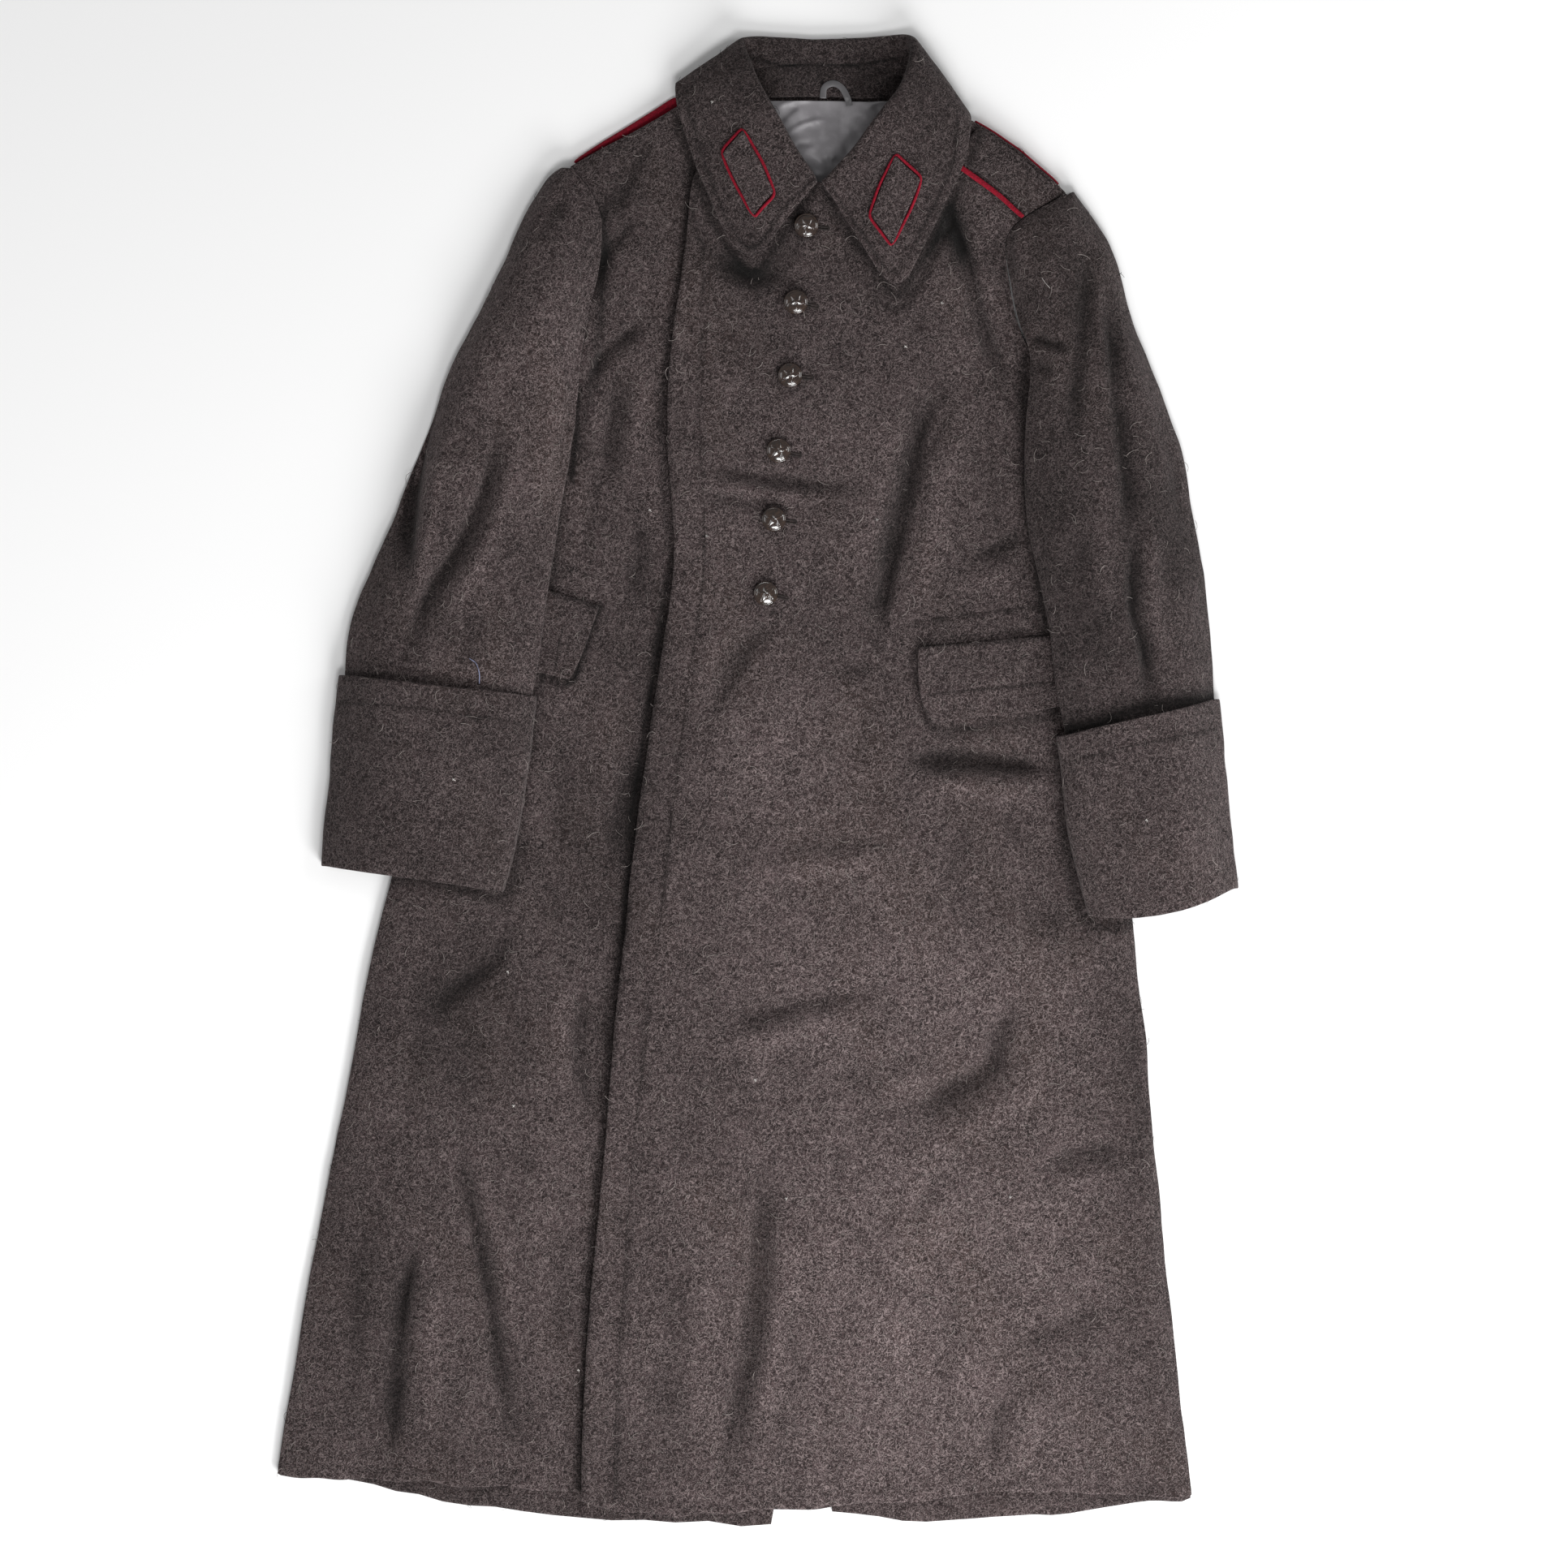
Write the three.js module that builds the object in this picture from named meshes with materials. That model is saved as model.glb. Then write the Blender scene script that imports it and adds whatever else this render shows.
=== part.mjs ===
// A greatcoat lying closed on its back. Millimetres, +Z up, collar towards +Y, the wearer's left at +X.
import * as THREE from 'three';

// Cloth thicknesses
const WOOL = 2.5;
const LINING = 1.0;
const PATCH = 1.2;
const SEAM_GAP = 0.3;

// Heights of the layers above the surface the coat rests on
const FRONT_EDGE = 5.0;
const FRONT_LEVEL = 13.5;
const HEM_LEVEL = 11.4;
const HEM_START = -430;
const HEM_END = -600;
const LAP_STEP = 4.0;
const EDGE_ROUNDING = 15;
const NECK_LIFT = 3.4;
const NECK_FRONT_SHARE = 0.3;
const NECK_START = 425;
const NECK_END = 478;
const LAP_INSIDE = 115;
const LAP_OUTSIDE = 170;
const TUCK_START = 8;
const TUCK_END = 35;
const LEAST_RISE = 1.4;
const LEAST_LAP_RISE = 3.4;

// Buttons
const BUTTON_RADIUS = 10.5;
const BUTTON_DOME = 3.0;
const BUTTON_RIM = 2.2;
const STAR_RISE = 0.9;
const STAR_TIP = 0.86;
const STAR_FLANK = 0.48;
const STAR_VALLEY = 0.36;
const STAR_POINTS = 5;
const BUTTON_CLEAR = 0.5;

// Piping
const PIPING_WIDTH = 2.6;
const PIPING_HEIGHT = 1.8;

// Viewer's left is the wearer's right. Each row joins the armhole or side to the inner edge.
const FRONT_RIGHT_ROWS = [
  { lx: -161, ly: 530, rx: -57, ry: 588 },
  { lx: -147, ly: 515, rx: -46, ry: 560 },
  { lx: -136, ly: 495, rx: -34, ry: 534 },
  { lx: -134, ly: 470, rx: -4, ry: 508 },
  { lx: -136, ly: 445, rx: 34, ry: 488 },
  { lx: -141, ly: 420, rx: 72, ry: 480 },
  { lx: -147, ly: 390, rx: 105, ry: 474 },
  { lx: -152, ly: 355, rx: 110, ry: 430 },
  { lx: -162, ly: 325, rx: 112, ry: 385 },
  { lx: -178, ly: 302, rx: 112, ry: 345 },
  { lx: -193, ly: 288, rx: 112, ry: 308 },
  { lx: -206, ly: 253, rx: 112, ry: 262 },
  { lx: -232, ly: 185, rx: 112, ry: 190 },
  { lx: -259, ly: 110, rx: 111, ry: 112 },
  { lx: -286, ly: 30, rx: 110, ry: 30 },
  { lx: -307, ly: -45, rx: 110, ry: -45 },
  { lx: -320, ly: -100, rx: 110, ry: -100 },
  { lx: -334, ly: -160, rx: 110, ry: -160 },
  { lx: -348, ly: -232, rx: 110, ry: -232 },
  { lx: -362, ly: -307, rx: 110, ry: -307 },
  { lx: -377, ly: -382, rx: 110, ry: -382 },
  { lx: -391, ly: -455, rx: 110, ry: -455 },
  { lx: -404, ly: -530, rx: 110, ry: -530 },
  { lx: -415, ly: -600, rx: 110, ry: -616 },
];
const FRONT_RIGHT_ARMHOLE_ROWS = 10;

// The wearer's left front. Each row joins the neck or front edge to the armhole or side.
const FRONT_LEFT_ROWS = [
  { lx: 166, ly: 579, rx: 266, ry: 507 },
  { lx: 150, ly: 562, rx: 239, ry: 493 },
  { lx: 132, ly: 540, rx: 221, ry: 480 },
  { lx: 112, ly: 523, rx: 213, ry: 465 },
  { lx: 84, ly: 514, rx: 214, ry: 447 },
  { lx: 52, ly: 516, rx: 217, ry: 428 },
  { lx: 14, ly: 521, rx: 220, ry: 410 },
  { lx: -20, ly: 527, rx: 224, ry: 393 },
  { lx: -53, ly: 533, rx: 230, ry: 377 },
  { lx: -58, ly: 498, rx: 239, ry: 360 },
  { lx: -63, ly: 460, rx: 256, ry: 344 },
  { lx: -67, ly: 425, rx: 276, ry: 331 },
  { lx: -72, ly: 393, rx: 285, ry: 308 },
  { lx: -78, ly: 340, rx: 289, ry: 275 },
  { lx: -78, ly: 290, rx: 292, ry: 245 },
  { lx: -73, ly: 245, rx: 295, ry: 210 },
  { lx: -71, ly: 200, rx: 297, ry: 175 },
  { lx: -76, ly: 150, rx: 299, ry: 132 },
  { lx: -85, ly: 95, rx: 303, ry: 85 },
  { lx: -93, ly: 35, rx: 308, ry: 30 },
  { lx: -104, ly: -25, rx: 314, ry: -30 },
  { lx: -109, ly: -90, rx: 321, ry: -95 },
  { lx: -117, ly: -155, rx: 326, ry: -155 },
  { lx: -123, ly: -220, rx: 334, ry: -220 },
  { lx: -129, ly: -285, rx: 339, ry: -285 },
  { lx: -136, ly: -355, rx: 346, ry: -355 },
  { lx: -142, ly: -425, rx: 352, ry: -425 },
  { lx: -147, ly: -495, rx: 360, ry: -495 },
  { lx: -151, ly: -565, rx: 367, ry: -565 },
  { lx: -152, ly: -624, rx: 374, ry: -622 },
];
const FRONT_LEFT_ARMHOLE_ROWS = 11;

// Where the hems run, by distance across the coat
const HEM_FRONT_RIGHT = [
  { x: -415, y: -599 },
  { x: -405, y: -603 },
  { x: -356, y: -601 },
  { x: -303, y: -605 },
  { x: -205, y: -610 },
  { x: -120, y: -615 },
  { x: 110, y: -618 },
];
const HEM_FRONT_LEFT = [
  { x: -152, y: -622 },
  { x: -121, y: -631 },
  { x: -58, y: -636 },
  { x: -30, y: -635 },
  { x: -13, y: -627 },
  { x: 64, y: -626 },
  { x: 117, y: -622 },
  { x: 187, y: -616 },
  { x: 257, y: -613 },
  { x: 313, y: -617 },
  { x: 355, y: -620 },
  { x: 374, y: -619 },
];
const HEM_BACK_RIGHT = [
  { x: -415, y: -597 },
  { x: -365, y: -597 },
  { x: -351, y: -606 },
  { x: -317, y: -613 },
  { x: -275, y: -626 },
  { x: -205, y: -632 },
  { x: -135, y: -638 },
  { x: -55, y: -644 },
  { x: -30, y: -642 },
  { x: -14, y: -646 },
  { x: 10, y: -647 },
  { x: 16, y: -640 },
];
const HEM_BACK_LEFT = [
  { x: 65, y: -632 },
  { x: 71, y: -642 },
  { x: 152, y: -640 },
  { x: 185, y: -644 },
  { x: 215, y: -638 },
  { x: 250, y: -634 },
  { x: 285, y: -631 },
  { x: 327, y: -620 },
  { x: 345, y: -623 },
  { x: 364, y: -629 },
  { x: 374, y: -623 },
];
const VENT_HEIGHT = -210;
const VENT_RIGHT_SHIFT = 31;
const VENT_LEFT_SHIFT = 19;
const BACK_CENTRE_TOP = 52;
const BACK_CENTRE_HEM = 45;
const BACK_NECK = { y: 589 };
const BACK_HEM_LINE = -620;

// Main folds of the fronts: a positive rise is a ridge, a negative one a trough.
// Width is the half width on the steep side; the other side is "spread" times as wide.
const FRONT_FOLDS = [
  { x1: 156, y1: 345, x2: 126, y2: 232, width: 13, spread: 2.2, rise: -4.6 },
  { x1: 126, y1: 232, x2: 96, y2: 96, width: 12, spread: 2.4, rise: -4.0 },
  { x1: 176, y1: 330, x2: 150, y2: 225, width: 18, spread: 1.6, rise: 3.4 },
  { x1: 183, y1: 414, x2: 217, y2: 320, width: 11, spread: 1.8, rise: -3.4 },
  { x1: 160, y1: 500, x2: 198, y2: 445, width: 12, spread: 1.5, rise: -3.0 },
  { x1: 122, y1: 18, x2: 262, y2: 6, width: 9, spread: 2.0, rise: -4.0 },
  { x1: 120, y1: -6, x2: 258, y2: -18, width: 15, spread: 1.6, rise: 2.6 },
  { x1: -58, y1: 258, x2: 50, y2: 248, width: 9, spread: 2.0, rise: -2.8 },
  { x1: 240, y1: 210, x2: 172, y2: 188, width: 10, spread: 1.6, rise: -2.6 },
  { x1: 8, y1: 146, x2: -24, y2: 68, width: 12, spread: 1.8, rise: -2.2 },
  { x1: -39, y1: -209, x2: 78, y2: -191, width: 9, spread: 2.0, rise: -2.6 },
  { x1: 210, y1: -228, x2: 128, y2: -288, width: 13, spread: 1.9, rise: -3.0 },
  { x1: 315, y1: -306, x2: 246, y2: -330, width: 12, spread: 1.7, rise: -2.8 },
  { x1: 5, y1: -400, x2: -22, y2: -600, width: 15, spread: 1.8, rise: -2.8 },
  { x1: 36, y1: -420, x2: 16, y2: -610, width: 22, spread: 1.5, rise: 2.2 },
  { x1: 308, y1: -452, x2: 232, y2: -477, width: 14, spread: 1.8, rise: -2.6 },
  { x1: 217, y1: -505, x2: 198, y2: -612, width: 13, spread: 1.8, rise: -2.6 },
  { x1: -287, y1: -392, x2: -313, y2: -600, width: 15, spread: 2.0, rise: -4.4 },
  { x1: -262, y1: -400, x2: -280, y2: -600, width: 20, spread: 1.5, rise: 2.6 },
  { x1: -234, y1: -440, x2: -204, y2: -608, width: 14, spread: 1.8, rise: -3.2 },
  { x1: -260, y1: -268, x2: -266, y2: -350, width: 12, spread: 1.8, rise: -2.4 },
  { x1: -153, y1: -160, x2: -149, y2: -280, width: 10, spread: 1.8, rise: -2.4 },
  { x1: -315, y1: -96, x2: -215, y2: -110, width: 9, spread: 1.8, rise: -3.2 },
  { x1: -96, y1: 490, x2: -130, y2: 450, width: 9, spread: 1.8, rise: -2.6 },
  { x1: -96, y1: 408, x2: -130, y2: 368, width: 11, spread: 1.8, rise: -3.0 },
  { x1: -83, y1: 262, x2: -99, y2: 160, width: 11, spread: 2.2, rise: -3.4 },
  { x1: -106, y1: -10, x2: -126, y2: -70, width: 10, spread: 2.0, rise: -2.6 },
];

// Sleeves: l is the edge with the smaller x, r the other; crown is the height of the upper side
// along its highest line and place is where that line runs across, from l at 0 to r at 1.
const SLEEVE_RIGHT_ROWS = [
  { lx: -168, ly: 529, rx: -161, ry: 528, crown: 11, place: 0.6 },
  { lx: -181, ly: 520, rx: -148, ry: 514, crown: 17, place: 0.6 },
  { lx: -191, ly: 502, rx: -137, ry: 494, crown: 21, place: 0.55 },
  { lx: -204, ly: 480, rx: -135, ry: 470, crown: 25, place: 0.5 },
  { lx: -215, ly: 455, rx: -137, ry: 445, crown: 28, place: 0.5 },
  { lx: -231, ly: 420, rx: -142, ry: 418, crown: 30, place: 0.5 },
  { lx: -247, ly: 389, rx: -148, ry: 388, crown: 31, place: 0.5 },
  { lx: -265, ly: 356, rx: -153, ry: 353, crown: 32, place: 0.5 },
  { lx: -275, ly: 322, rx: -157, ry: 320, crown: 32, place: 0.52 },
  { lx: -288, ly: 288, rx: -161, ry: 286, crown: 33, place: 0.56 },
  { lx: -304, ly: 252, rx: -168, ry: 246, crown: 34, place: 0.58 },
  { lx: -319, ly: 214, rx: -174, ry: 206, crown: 35, place: 0.6 },
  { lx: -336, ly: 176, rx: -180, ry: 167, crown: 35, place: 0.6 },
  { lx: -351, ly: 135, rx: -186, ry: 125, crown: 35, place: 0.6 },
  { lx: -355, ly: 100, rx: -190, ry: 86, crown: 35, place: 0.6 },
  { lx: -357, ly: 52, rx: -204, ry: 42, crown: 34, place: 0.6 },
  { lx: -361, ly: -5, rx: -208, ry: -18, crown: 33, place: 0.6 },
  { lx: -366, ly: -62, rx: -220, ry: -80, crown: 32, place: 0.6 },
];
const SLEEVE_LEFT_ROWS = [
  { lx: 267, ly: 504, rx: 273, ry: 508, crown: 12, place: 0.4 },
  { lx: 242, ly: 492.5, rx: 284, ry: 493, crown: 19, place: 0.4 },
  { lx: 222.5, ly: 479, rx: 299, ry: 472, crown: 24, place: 0.45 },
  { lx: 214.6, ly: 465, rx: 311, ry: 447, crown: 28, place: 0.5 },
  { lx: 215.6, ly: 446, rx: 318, ry: 420, crown: 31, place: 0.5 },
  { lx: 219.6, ly: 424, rx: 324, ry: 394, crown: 32, place: 0.5 },
  { lx: 225.6, ly: 394, rx: 334, ry: 368, crown: 33, place: 0.5 },
  { lx: 235, ly: 368, rx: 345, ry: 343, crown: 33, place: 0.5 },
  { lx: 234, ly: 338, rx: 354, ry: 318, crown: 33, place: 0.45 },
  { lx: 232, ly: 300, rx: 365, ry: 288, crown: 34, place: 0.42 },
  { lx: 231, ly: 258, rx: 372, ry: 250, crown: 35, place: 0.4 },
  { lx: 234, ly: 214, rx: 380, ry: 208, crown: 36, place: 0.4 },
  { lx: 243, ly: 170, rx: 386, ry: 167, crown: 36, place: 0.4 },
  { lx: 253, ly: 123, rx: 391, ry: 126, crown: 36, place: 0.38 },
  { lx: 257, ly: 80, rx: 393, ry: 88, crown: 36, place: 0.38 },
  { lx: 268, ly: 30, rx: 393, ry: 42, crown: 35, place: 0.38 },
  { lx: 274, ly: -28, rx: 398, ry: -15, crown: 33, place: 0.38 },
  { lx: 293, ly: -98, rx: 404, ry: -78, crown: 32, place: 0.38 },
];
const SLEEVE_EDGE_POWER = 3.2;
const SLEEVE_INSET = 1.0;
const SLEEVE_STEPS = 25;
const CLIMB_START = 40;
const CLIMB_END = 8;
const LAYER_GAP = 1.0;
const SHOULDER_BOW = 6;

const SLEEVE_RIGHT_FOLDS = [
  { x1: -226, y1: 277, x2: -275, y2: 183, width: 11, spread: 2.0, rise: -4.2 },
  { x1: -275, y1: 183, x2: -310, y2: 94, width: 11, spread: 2.0, rise: -3.8 },
  { x1: -150, y1: 378, x2: -172, y2: 318, width: 9, spread: 1.8, rise: -3.4 },
  { x1: -206, y1: 440, x2: -176, y2: 350, width: 14, spread: 1.6, rise: 2.6 },
  { x1: -250, y1: 330, x2: -212, y2: 300, width: 12, spread: 1.6, rise: -2.4 },
  { x1: -262, y1: 290, x2: -292, y2: 190, width: 14, spread: 1.6, rise: 2.4 },
  { x1: -188, y1: 200, x2: -250, y2: 150, width: 12, spread: 1.6, rise: -2.0 },
];
const SLEEVE_LEFT_FOLDS = [
  { x1: 285, y1: 477, x2: 292, y2: 351, width: 13, spread: 1.6, rise: -2.6 },
  { x1: 278, y1: 351, x2: 278, y2: 300, width: 11, spread: 1.6, rise: -2.4 },
  { x1: 306, y1: 312, x2: 306, y2: 252, width: 12, spread: 1.8, rise: -2.6 },
  { x1: 323, y1: 220, x2: 322, y2: 156, width: 12, spread: 1.8, rise: -3.0 },
  { x1: 322, y1: 156, x2: 338, y2: 66, width: 12, spread: 1.8, rise: -3.0 },
  { x1: 236, y1: 393, x2: 258, y2: 370, width: 10, spread: 1.6, rise: -2.4 },
  { x1: 250, y1: 230, x2: 300, y2: 200, width: 12, spread: 1.6, rise: -2.0 },
];

// Cuffs: both edges of each row down the sleeve, and the crown as on the sleeves
const CUFF_RIGHT_ROWS = [
  { lx: -361, ly: 91, rx: -190, ry: 72, crown: 41, place: 0.6 },
  { lx: -366, ly: 43, rx: -194, ry: 36, crown: 40, place: 0.6 },
  { lx: -370, ly: 1, rx: -200, ry: -10, crown: 39, place: 0.6 },
  { lx: -374, ly: -40, rx: -207, ry: -52, crown: 38, place: 0.6 },
  { lx: -376, ly: -74, rx: -218, ry: -95, crown: 36, place: 0.6 },
];
const CUFF_LEFT_ROWS = [
  { lx: 257, ly: 37, rx: 398, ry: 69, crown: 42, place: 0.4 },
  { lx: 261, ly: 10, rx: 401, ry: 33, crown: 41, place: 0.4 },
  { lx: 265, ly: -28, rx: 406, ry: -10, crown: 40, place: 0.4 },
  { lx: 272, ly: -70, rx: 411, ry: -55, crown: 39, place: 0.4 },
  { lx: 285, ly: -117, rx: 415, ry: -93, crown: 37, place: 0.4 },
];
const CUFF_HEM_RIGHT = 0;
const CUFF_HEM_LEFT = 10;
const CUFF_ROUND = 4.2;
const CUFF_EDGE = 13;

// Collar stations from the wearer's right leaf round the back of the neck to the left leaf.
// s is the sewn edge, r the roll, f the free edge; rz is the height of the roll's middle, sz and fz
// those of the outer face at the sewn and free edges. "side" is the way the fall faces in degrees:
// 90 up, 180 towards the wearer's right, 270 down, 360 towards the wearer's left, 450 up again.
const COLLAR_STATIONS = [
  { sx: 42, sy: 508, rx: 52, ry: 516, fx: 8, fy: 462, rz: 25, sz: 20, fz: 23, side: 90 },
  { sx: 37, sy: 510, rx: 49, ry: 524, fx: -4, fy: 452, rz: 26, sz: 20, fz: 23, side: 90 },
  { sx: 26, sy: 515, rx: 42, ry: 534, fx: -21, fy: 458, rz: 27, sz: 20, fz: 23, side: 90 },
  { sx: 12, sy: 528, rx: 32, ry: 548, fx: -37, fy: 492, rz: 28, sz: 19.5, fz: 23, side: 90 },
  { sx: -5, sy: 545, rx: 20, ry: 568, fx: -50, fy: 522, rz: 29, sz: 19, fz: 22, side: 90 },
  { sx: -19, sy: 562, rx: 8, ry: 589, fx: -59, fy: 547, rz: 28, sz: 18, fz: 21, side: 92 },
  { sx: -31, sy: 577, rx: -2, ry: 608, fx: -66, fy: 568, rz: 25, sz: 16, fz: 20, side: 105 },
  { sx: -36, sy: 588, rx: -9, ry: 626, fx: -70, fy: 587, rz: 20, sz: 13.5, fz: 16, side: 135 },
  { sx: -35, sy: 598, rx: -14, ry: 637, fx: -70, fy: 602, rz: 13, sz: 11, fz: 9, side: 180 },
  { sx: -26, sy: 606, rx: -9, ry: 641, fx: -60, fy: 594, rz: 7.5, sz: 9.5, fz: 3, side: 235 },
  { sx: -8, sy: 613, rx: 2, ry: 642, fx: -36, fy: 566, rz: 4.6, sz: 8.8, fz: 0.2, side: 265 },
  { sx: 18, sy: 617, rx: 22, ry: 641, fx: 4, fy: 556, rz: 4.4, sz: 8.6, fz: 0.2, side: 270 },
  { sx: 52, sy: 618, rx: 52, ry: 639, fx: 52, fy: 552, rz: 4.4, sz: 8.6, fz: 0.2, side: 270 },
  { sx: 84, sy: 618, rx: 86, ry: 641, fx: 96, fy: 556, rz: 4.4, sz: 8.6, fz: 0.2, side: 270 },
  { sx: 112, sy: 614, rx: 112, ry: 643, fx: 143, fy: 563, rz: 4.6, sz: 8.8, fz: 0.2, side: 275 },
  { sx: 128, sy: 606, rx: 127, ry: 644, fx: 172, fy: 574, rz: 7.5, sz: 9.5, fz: 3, side: 305 },
  { sx: 138, sy: 596, rx: 134, ry: 640, fx: 183, fy: 577, rz: 14, sz: 11.5, fz: 9, side: 360 },
  { sx: 144, sy: 582, rx: 133, ry: 630, fx: 183, fy: 560, rz: 22, sz: 15, fz: 20, side: 405 },
  { sx: 143, sy: 568, rx: 128, ry: 610, fx: 178, fy: 532, rz: 26, sz: 17, fz: 22, side: 435 },
  { sx: 136, sy: 556, rx: 119, ry: 592, fx: 165, fy: 506, rz: 29, sz: 18, fz: 23, side: 448 },
  { sx: 125, sy: 546, rx: 108, ry: 580, fx: 153, fy: 480, rz: 30, sz: 19, fz: 23, side: 450 },
  { sx: 112, sy: 534, rx: 96, ry: 563, fx: 141, fy: 456, rz: 30, sz: 19, fz: 23, side: 450 },
  { sx: 96, sy: 522, rx: 82, ry: 545, fx: 132, fy: 437, rz: 29, sz: 20, fz: 24, side: 450 },
  { sx: 78, sy: 510, rx: 68, ry: 529, fx: 123, fy: 428, rz: 28, sz: 20, fz: 24, side: 450 },
  { sx: 68, sy: 507, rx: 61, ry: 521, fx: 114, fy: 429, rz: 27, sz: 20, fz: 24, side: 450 },
  { sx: 63, sy: 506, rx: 56, ry: 517, fx: 104, fy: 438, rz: 26, sz: 20, fz: 24, side: 450 },
];
const ROLL_RADIUS = 4.2;
const COLLAR_BULGE = 1.2;

// Lining behind the neck opening, one row per distance up the coat
const LINING_ROWS = [
  { lx: -44, ly: 586, rx: 148, ry: 586 },
  { lx: -46, ly: 560, rx: 148, ry: 560 },
  { lx: -44, ly: 530, rx: 142, ry: 530 },
  { lx: -30, ly: 500, rx: 132, ry: 500 },
  { lx: 0, ly: 472, rx: 112, ry: 472 },
];
const LINING_FOLDS = [
  { x1: 18, y1: 568, x2: 38, y2: 582, width: 5, spread: 1.8, rise: 2.4 },
  { x1: 30, y1: 547, x2: 52, y2: 551, width: 5, spread: 1.6, rise: 2.6 },
  { x1: 82, y1: 570, x2: 92, y2: 560, width: 6, spread: 1.4, rise: 2.4 },
  { x1: 74, y1: 556, x2: 86, y2: 546, width: 5, spread: 1.6, rise: 2.2 },
  { x1: 55, y1: 532, x2: 76, y2: 538, width: 5, spread: 1.4, rise: 2.0 },
];

const COLLAR_STAND_ROWS = [
  { x: -22, bottom: 586 },
  { x: 5, bottom: 589.4 },
  { x: 30, bottom: 590 },
  { x: 55, bottom: 590 },
  { x: 80, bottom: 590 },
  { x: 105, bottom: 589.6 },
  { x: 124, bottom: 588 },
];
const STAND_LEVEL = 8.9;

// Corners of the patches that lie on the two leaves of the collar, in order round each
const TAB_RIGHT = [
  { x: -12, y: 558 },
  { x: -29, y: 538 },
  { x: -3, y: 486 },
  { x: 14, y: 506 },
];
const TAB_LEFT = [
  { x: 118, y: 537 },
  { x: 139, y: 516 },
  { x: 116, y: 461 },
  { x: 98, y: 487 },
];

// Shoulder boards: outer edge at the shoulder, inner edge on the body
const BOARD_LEFT_ROWS = [
  { lx: 171, ly: 537, rx: 190, ry: 563 },
  { lx: 187, ly: 527, rx: 205, ry: 553 },
  { lx: 204, ly: 515, rx: 221, ry: 541 },
  { lx: 220, ly: 501, rx: 238, ry: 527 },
  { lx: 233, ly: 490, rx: 252, ry: 515 },
];
const BOARD_RIGHT_ROWS = [
  { lx: -92, ly: 545, rx: -76, ry: 577.3 },
  { lx: -108, ly: 538, rx: -96, ry: 566.1 },
  { lx: -124, ly: 530, rx: -114, ry: 556.1 },
  { lx: -136, ly: 523, rx: -130, ry: 547.2 },
  { lx: -146, ly: 518, rx: -143, ry: 539.9 },
];
const BOARD_INNER_PIPING = [
  { x: 163, y: 537, width: 4.4 },
  { x: 175, y: 527.5, width: 4.4 },
  { x: 190, y: 518.5, width: 4.4 },
  { x: 204, y: 508, width: 4.4 },
  { x: 218, y: 495.5, width: 4.2 },
  { x: 229, y: 485.5, width: 4 },
];
const BOARD_SHOULDER_PIPING = { from: 0.2, to: 0.93, width: 3 };
const BOARD_RIGHT_PIPING = [
  { x: -68, y: 587.7, width: 9.4 },
  { x: -90, y: 574.8, width: 8.2 },
  { x: -113, y: 561.3, width: 7 },
  { x: -137, y: 547, width: 5.4 },
  { x: -158, y: 534.3, width: 3.6 },
];
const SHOULDER_PIPING_LEVEL = 4.2;

const FLAP_LEFT_ROWS = [
  { lx: 138, ly: 115, rx: 256, ry: 124 },
  { lx: 138, ly: 92, rx: 257, ry: 104 },
  { lx: 141, ly: 70, rx: 259, ry: 84 },
  { lx: 152, ly: 49, rx: 261, ry: 64 },
];
const FLAP_RIGHT_ROWS = [
  { lx: -196, ly: 168, rx: -137, ry: 150 },
  { lx: -198, ly: 142, rx: -144, ry: 130 },
  { lx: -199, ly: 116, rx: -152, ry: 106 },
  { lx: -200, ly: 96, rx: -162, ry: 88 },
];

const FLAP_FLARE = 0.5;

const BUTTON_PLACES = [
  { x: 42, y: 478, turn: 14 },
  { x: 33, y: 412, turn: 50 },
  { x: 28, y: 349, turn: 28 },
  { x: 18, y: 284, turn: 62 },
  { x: 14, y: 225, turn: 5 },
  { x: 7, y: 161, turn: 40 },
];

const LOOP_PLACES = [
  { x: 56, y: 588 },
  { x: 57, y: 597 },
  { x: 64, y: 601 },
  { x: 72, y: 598 },
  { x: 77, y: 589 },
  { x: 79, y: 582 },
];
const LOOP_WIDTH = 5.6;
const LOOP_HEIGHT = 1.6;

// Colours of the cloths and trims
const COLOURS = {
  wool: 0x4a4641,
  satin: 0x77787c,
  piping: 0x9c2230,
  button: 0x3a2820,
};

// Small mathematics
const mix = (a, b, t) => a + (b - a) * t;
const clamp = (value, low, high) => Math.min(high, Math.max(low, value));
const smooth = (low, high, value) => {
  const t = clamp((value - low) / (high - low), 0, 1);
  return t * t * (3 - 2 * t);
};

// Reads a column of a table of rows at v from 0 to 1, through a smooth curve
function column(rows, name, v) {
  const place = clamp(v, 0, 1) * (rows.length - 1);
  const i = Math.min(Math.floor(place), rows.length - 2);
  const t = place - i;
  const p1 = rows[i][name];
  const p2 = rows[i + 1][name];
  const p0 = i > 0 ? rows[i - 1][name] : 2 * p1 - p2;
  const p3 = i + 2 < rows.length ? rows[i + 2][name] : 2 * p2 - p1;
  const slope1 = (p2 - p0) / 2;
  const slope2 = (p3 - p1) / 2;
  const t2 = t * t;
  const t3 = t2 * t;
  return (
    (2 * t3 - 3 * t2 + 1) * p1 +
    (t3 - 2 * t2 + t) * slope1 +
    (3 * t2 - 2 * t3) * p2 +
    (t3 - t2) * slope2
  );
}

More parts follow.
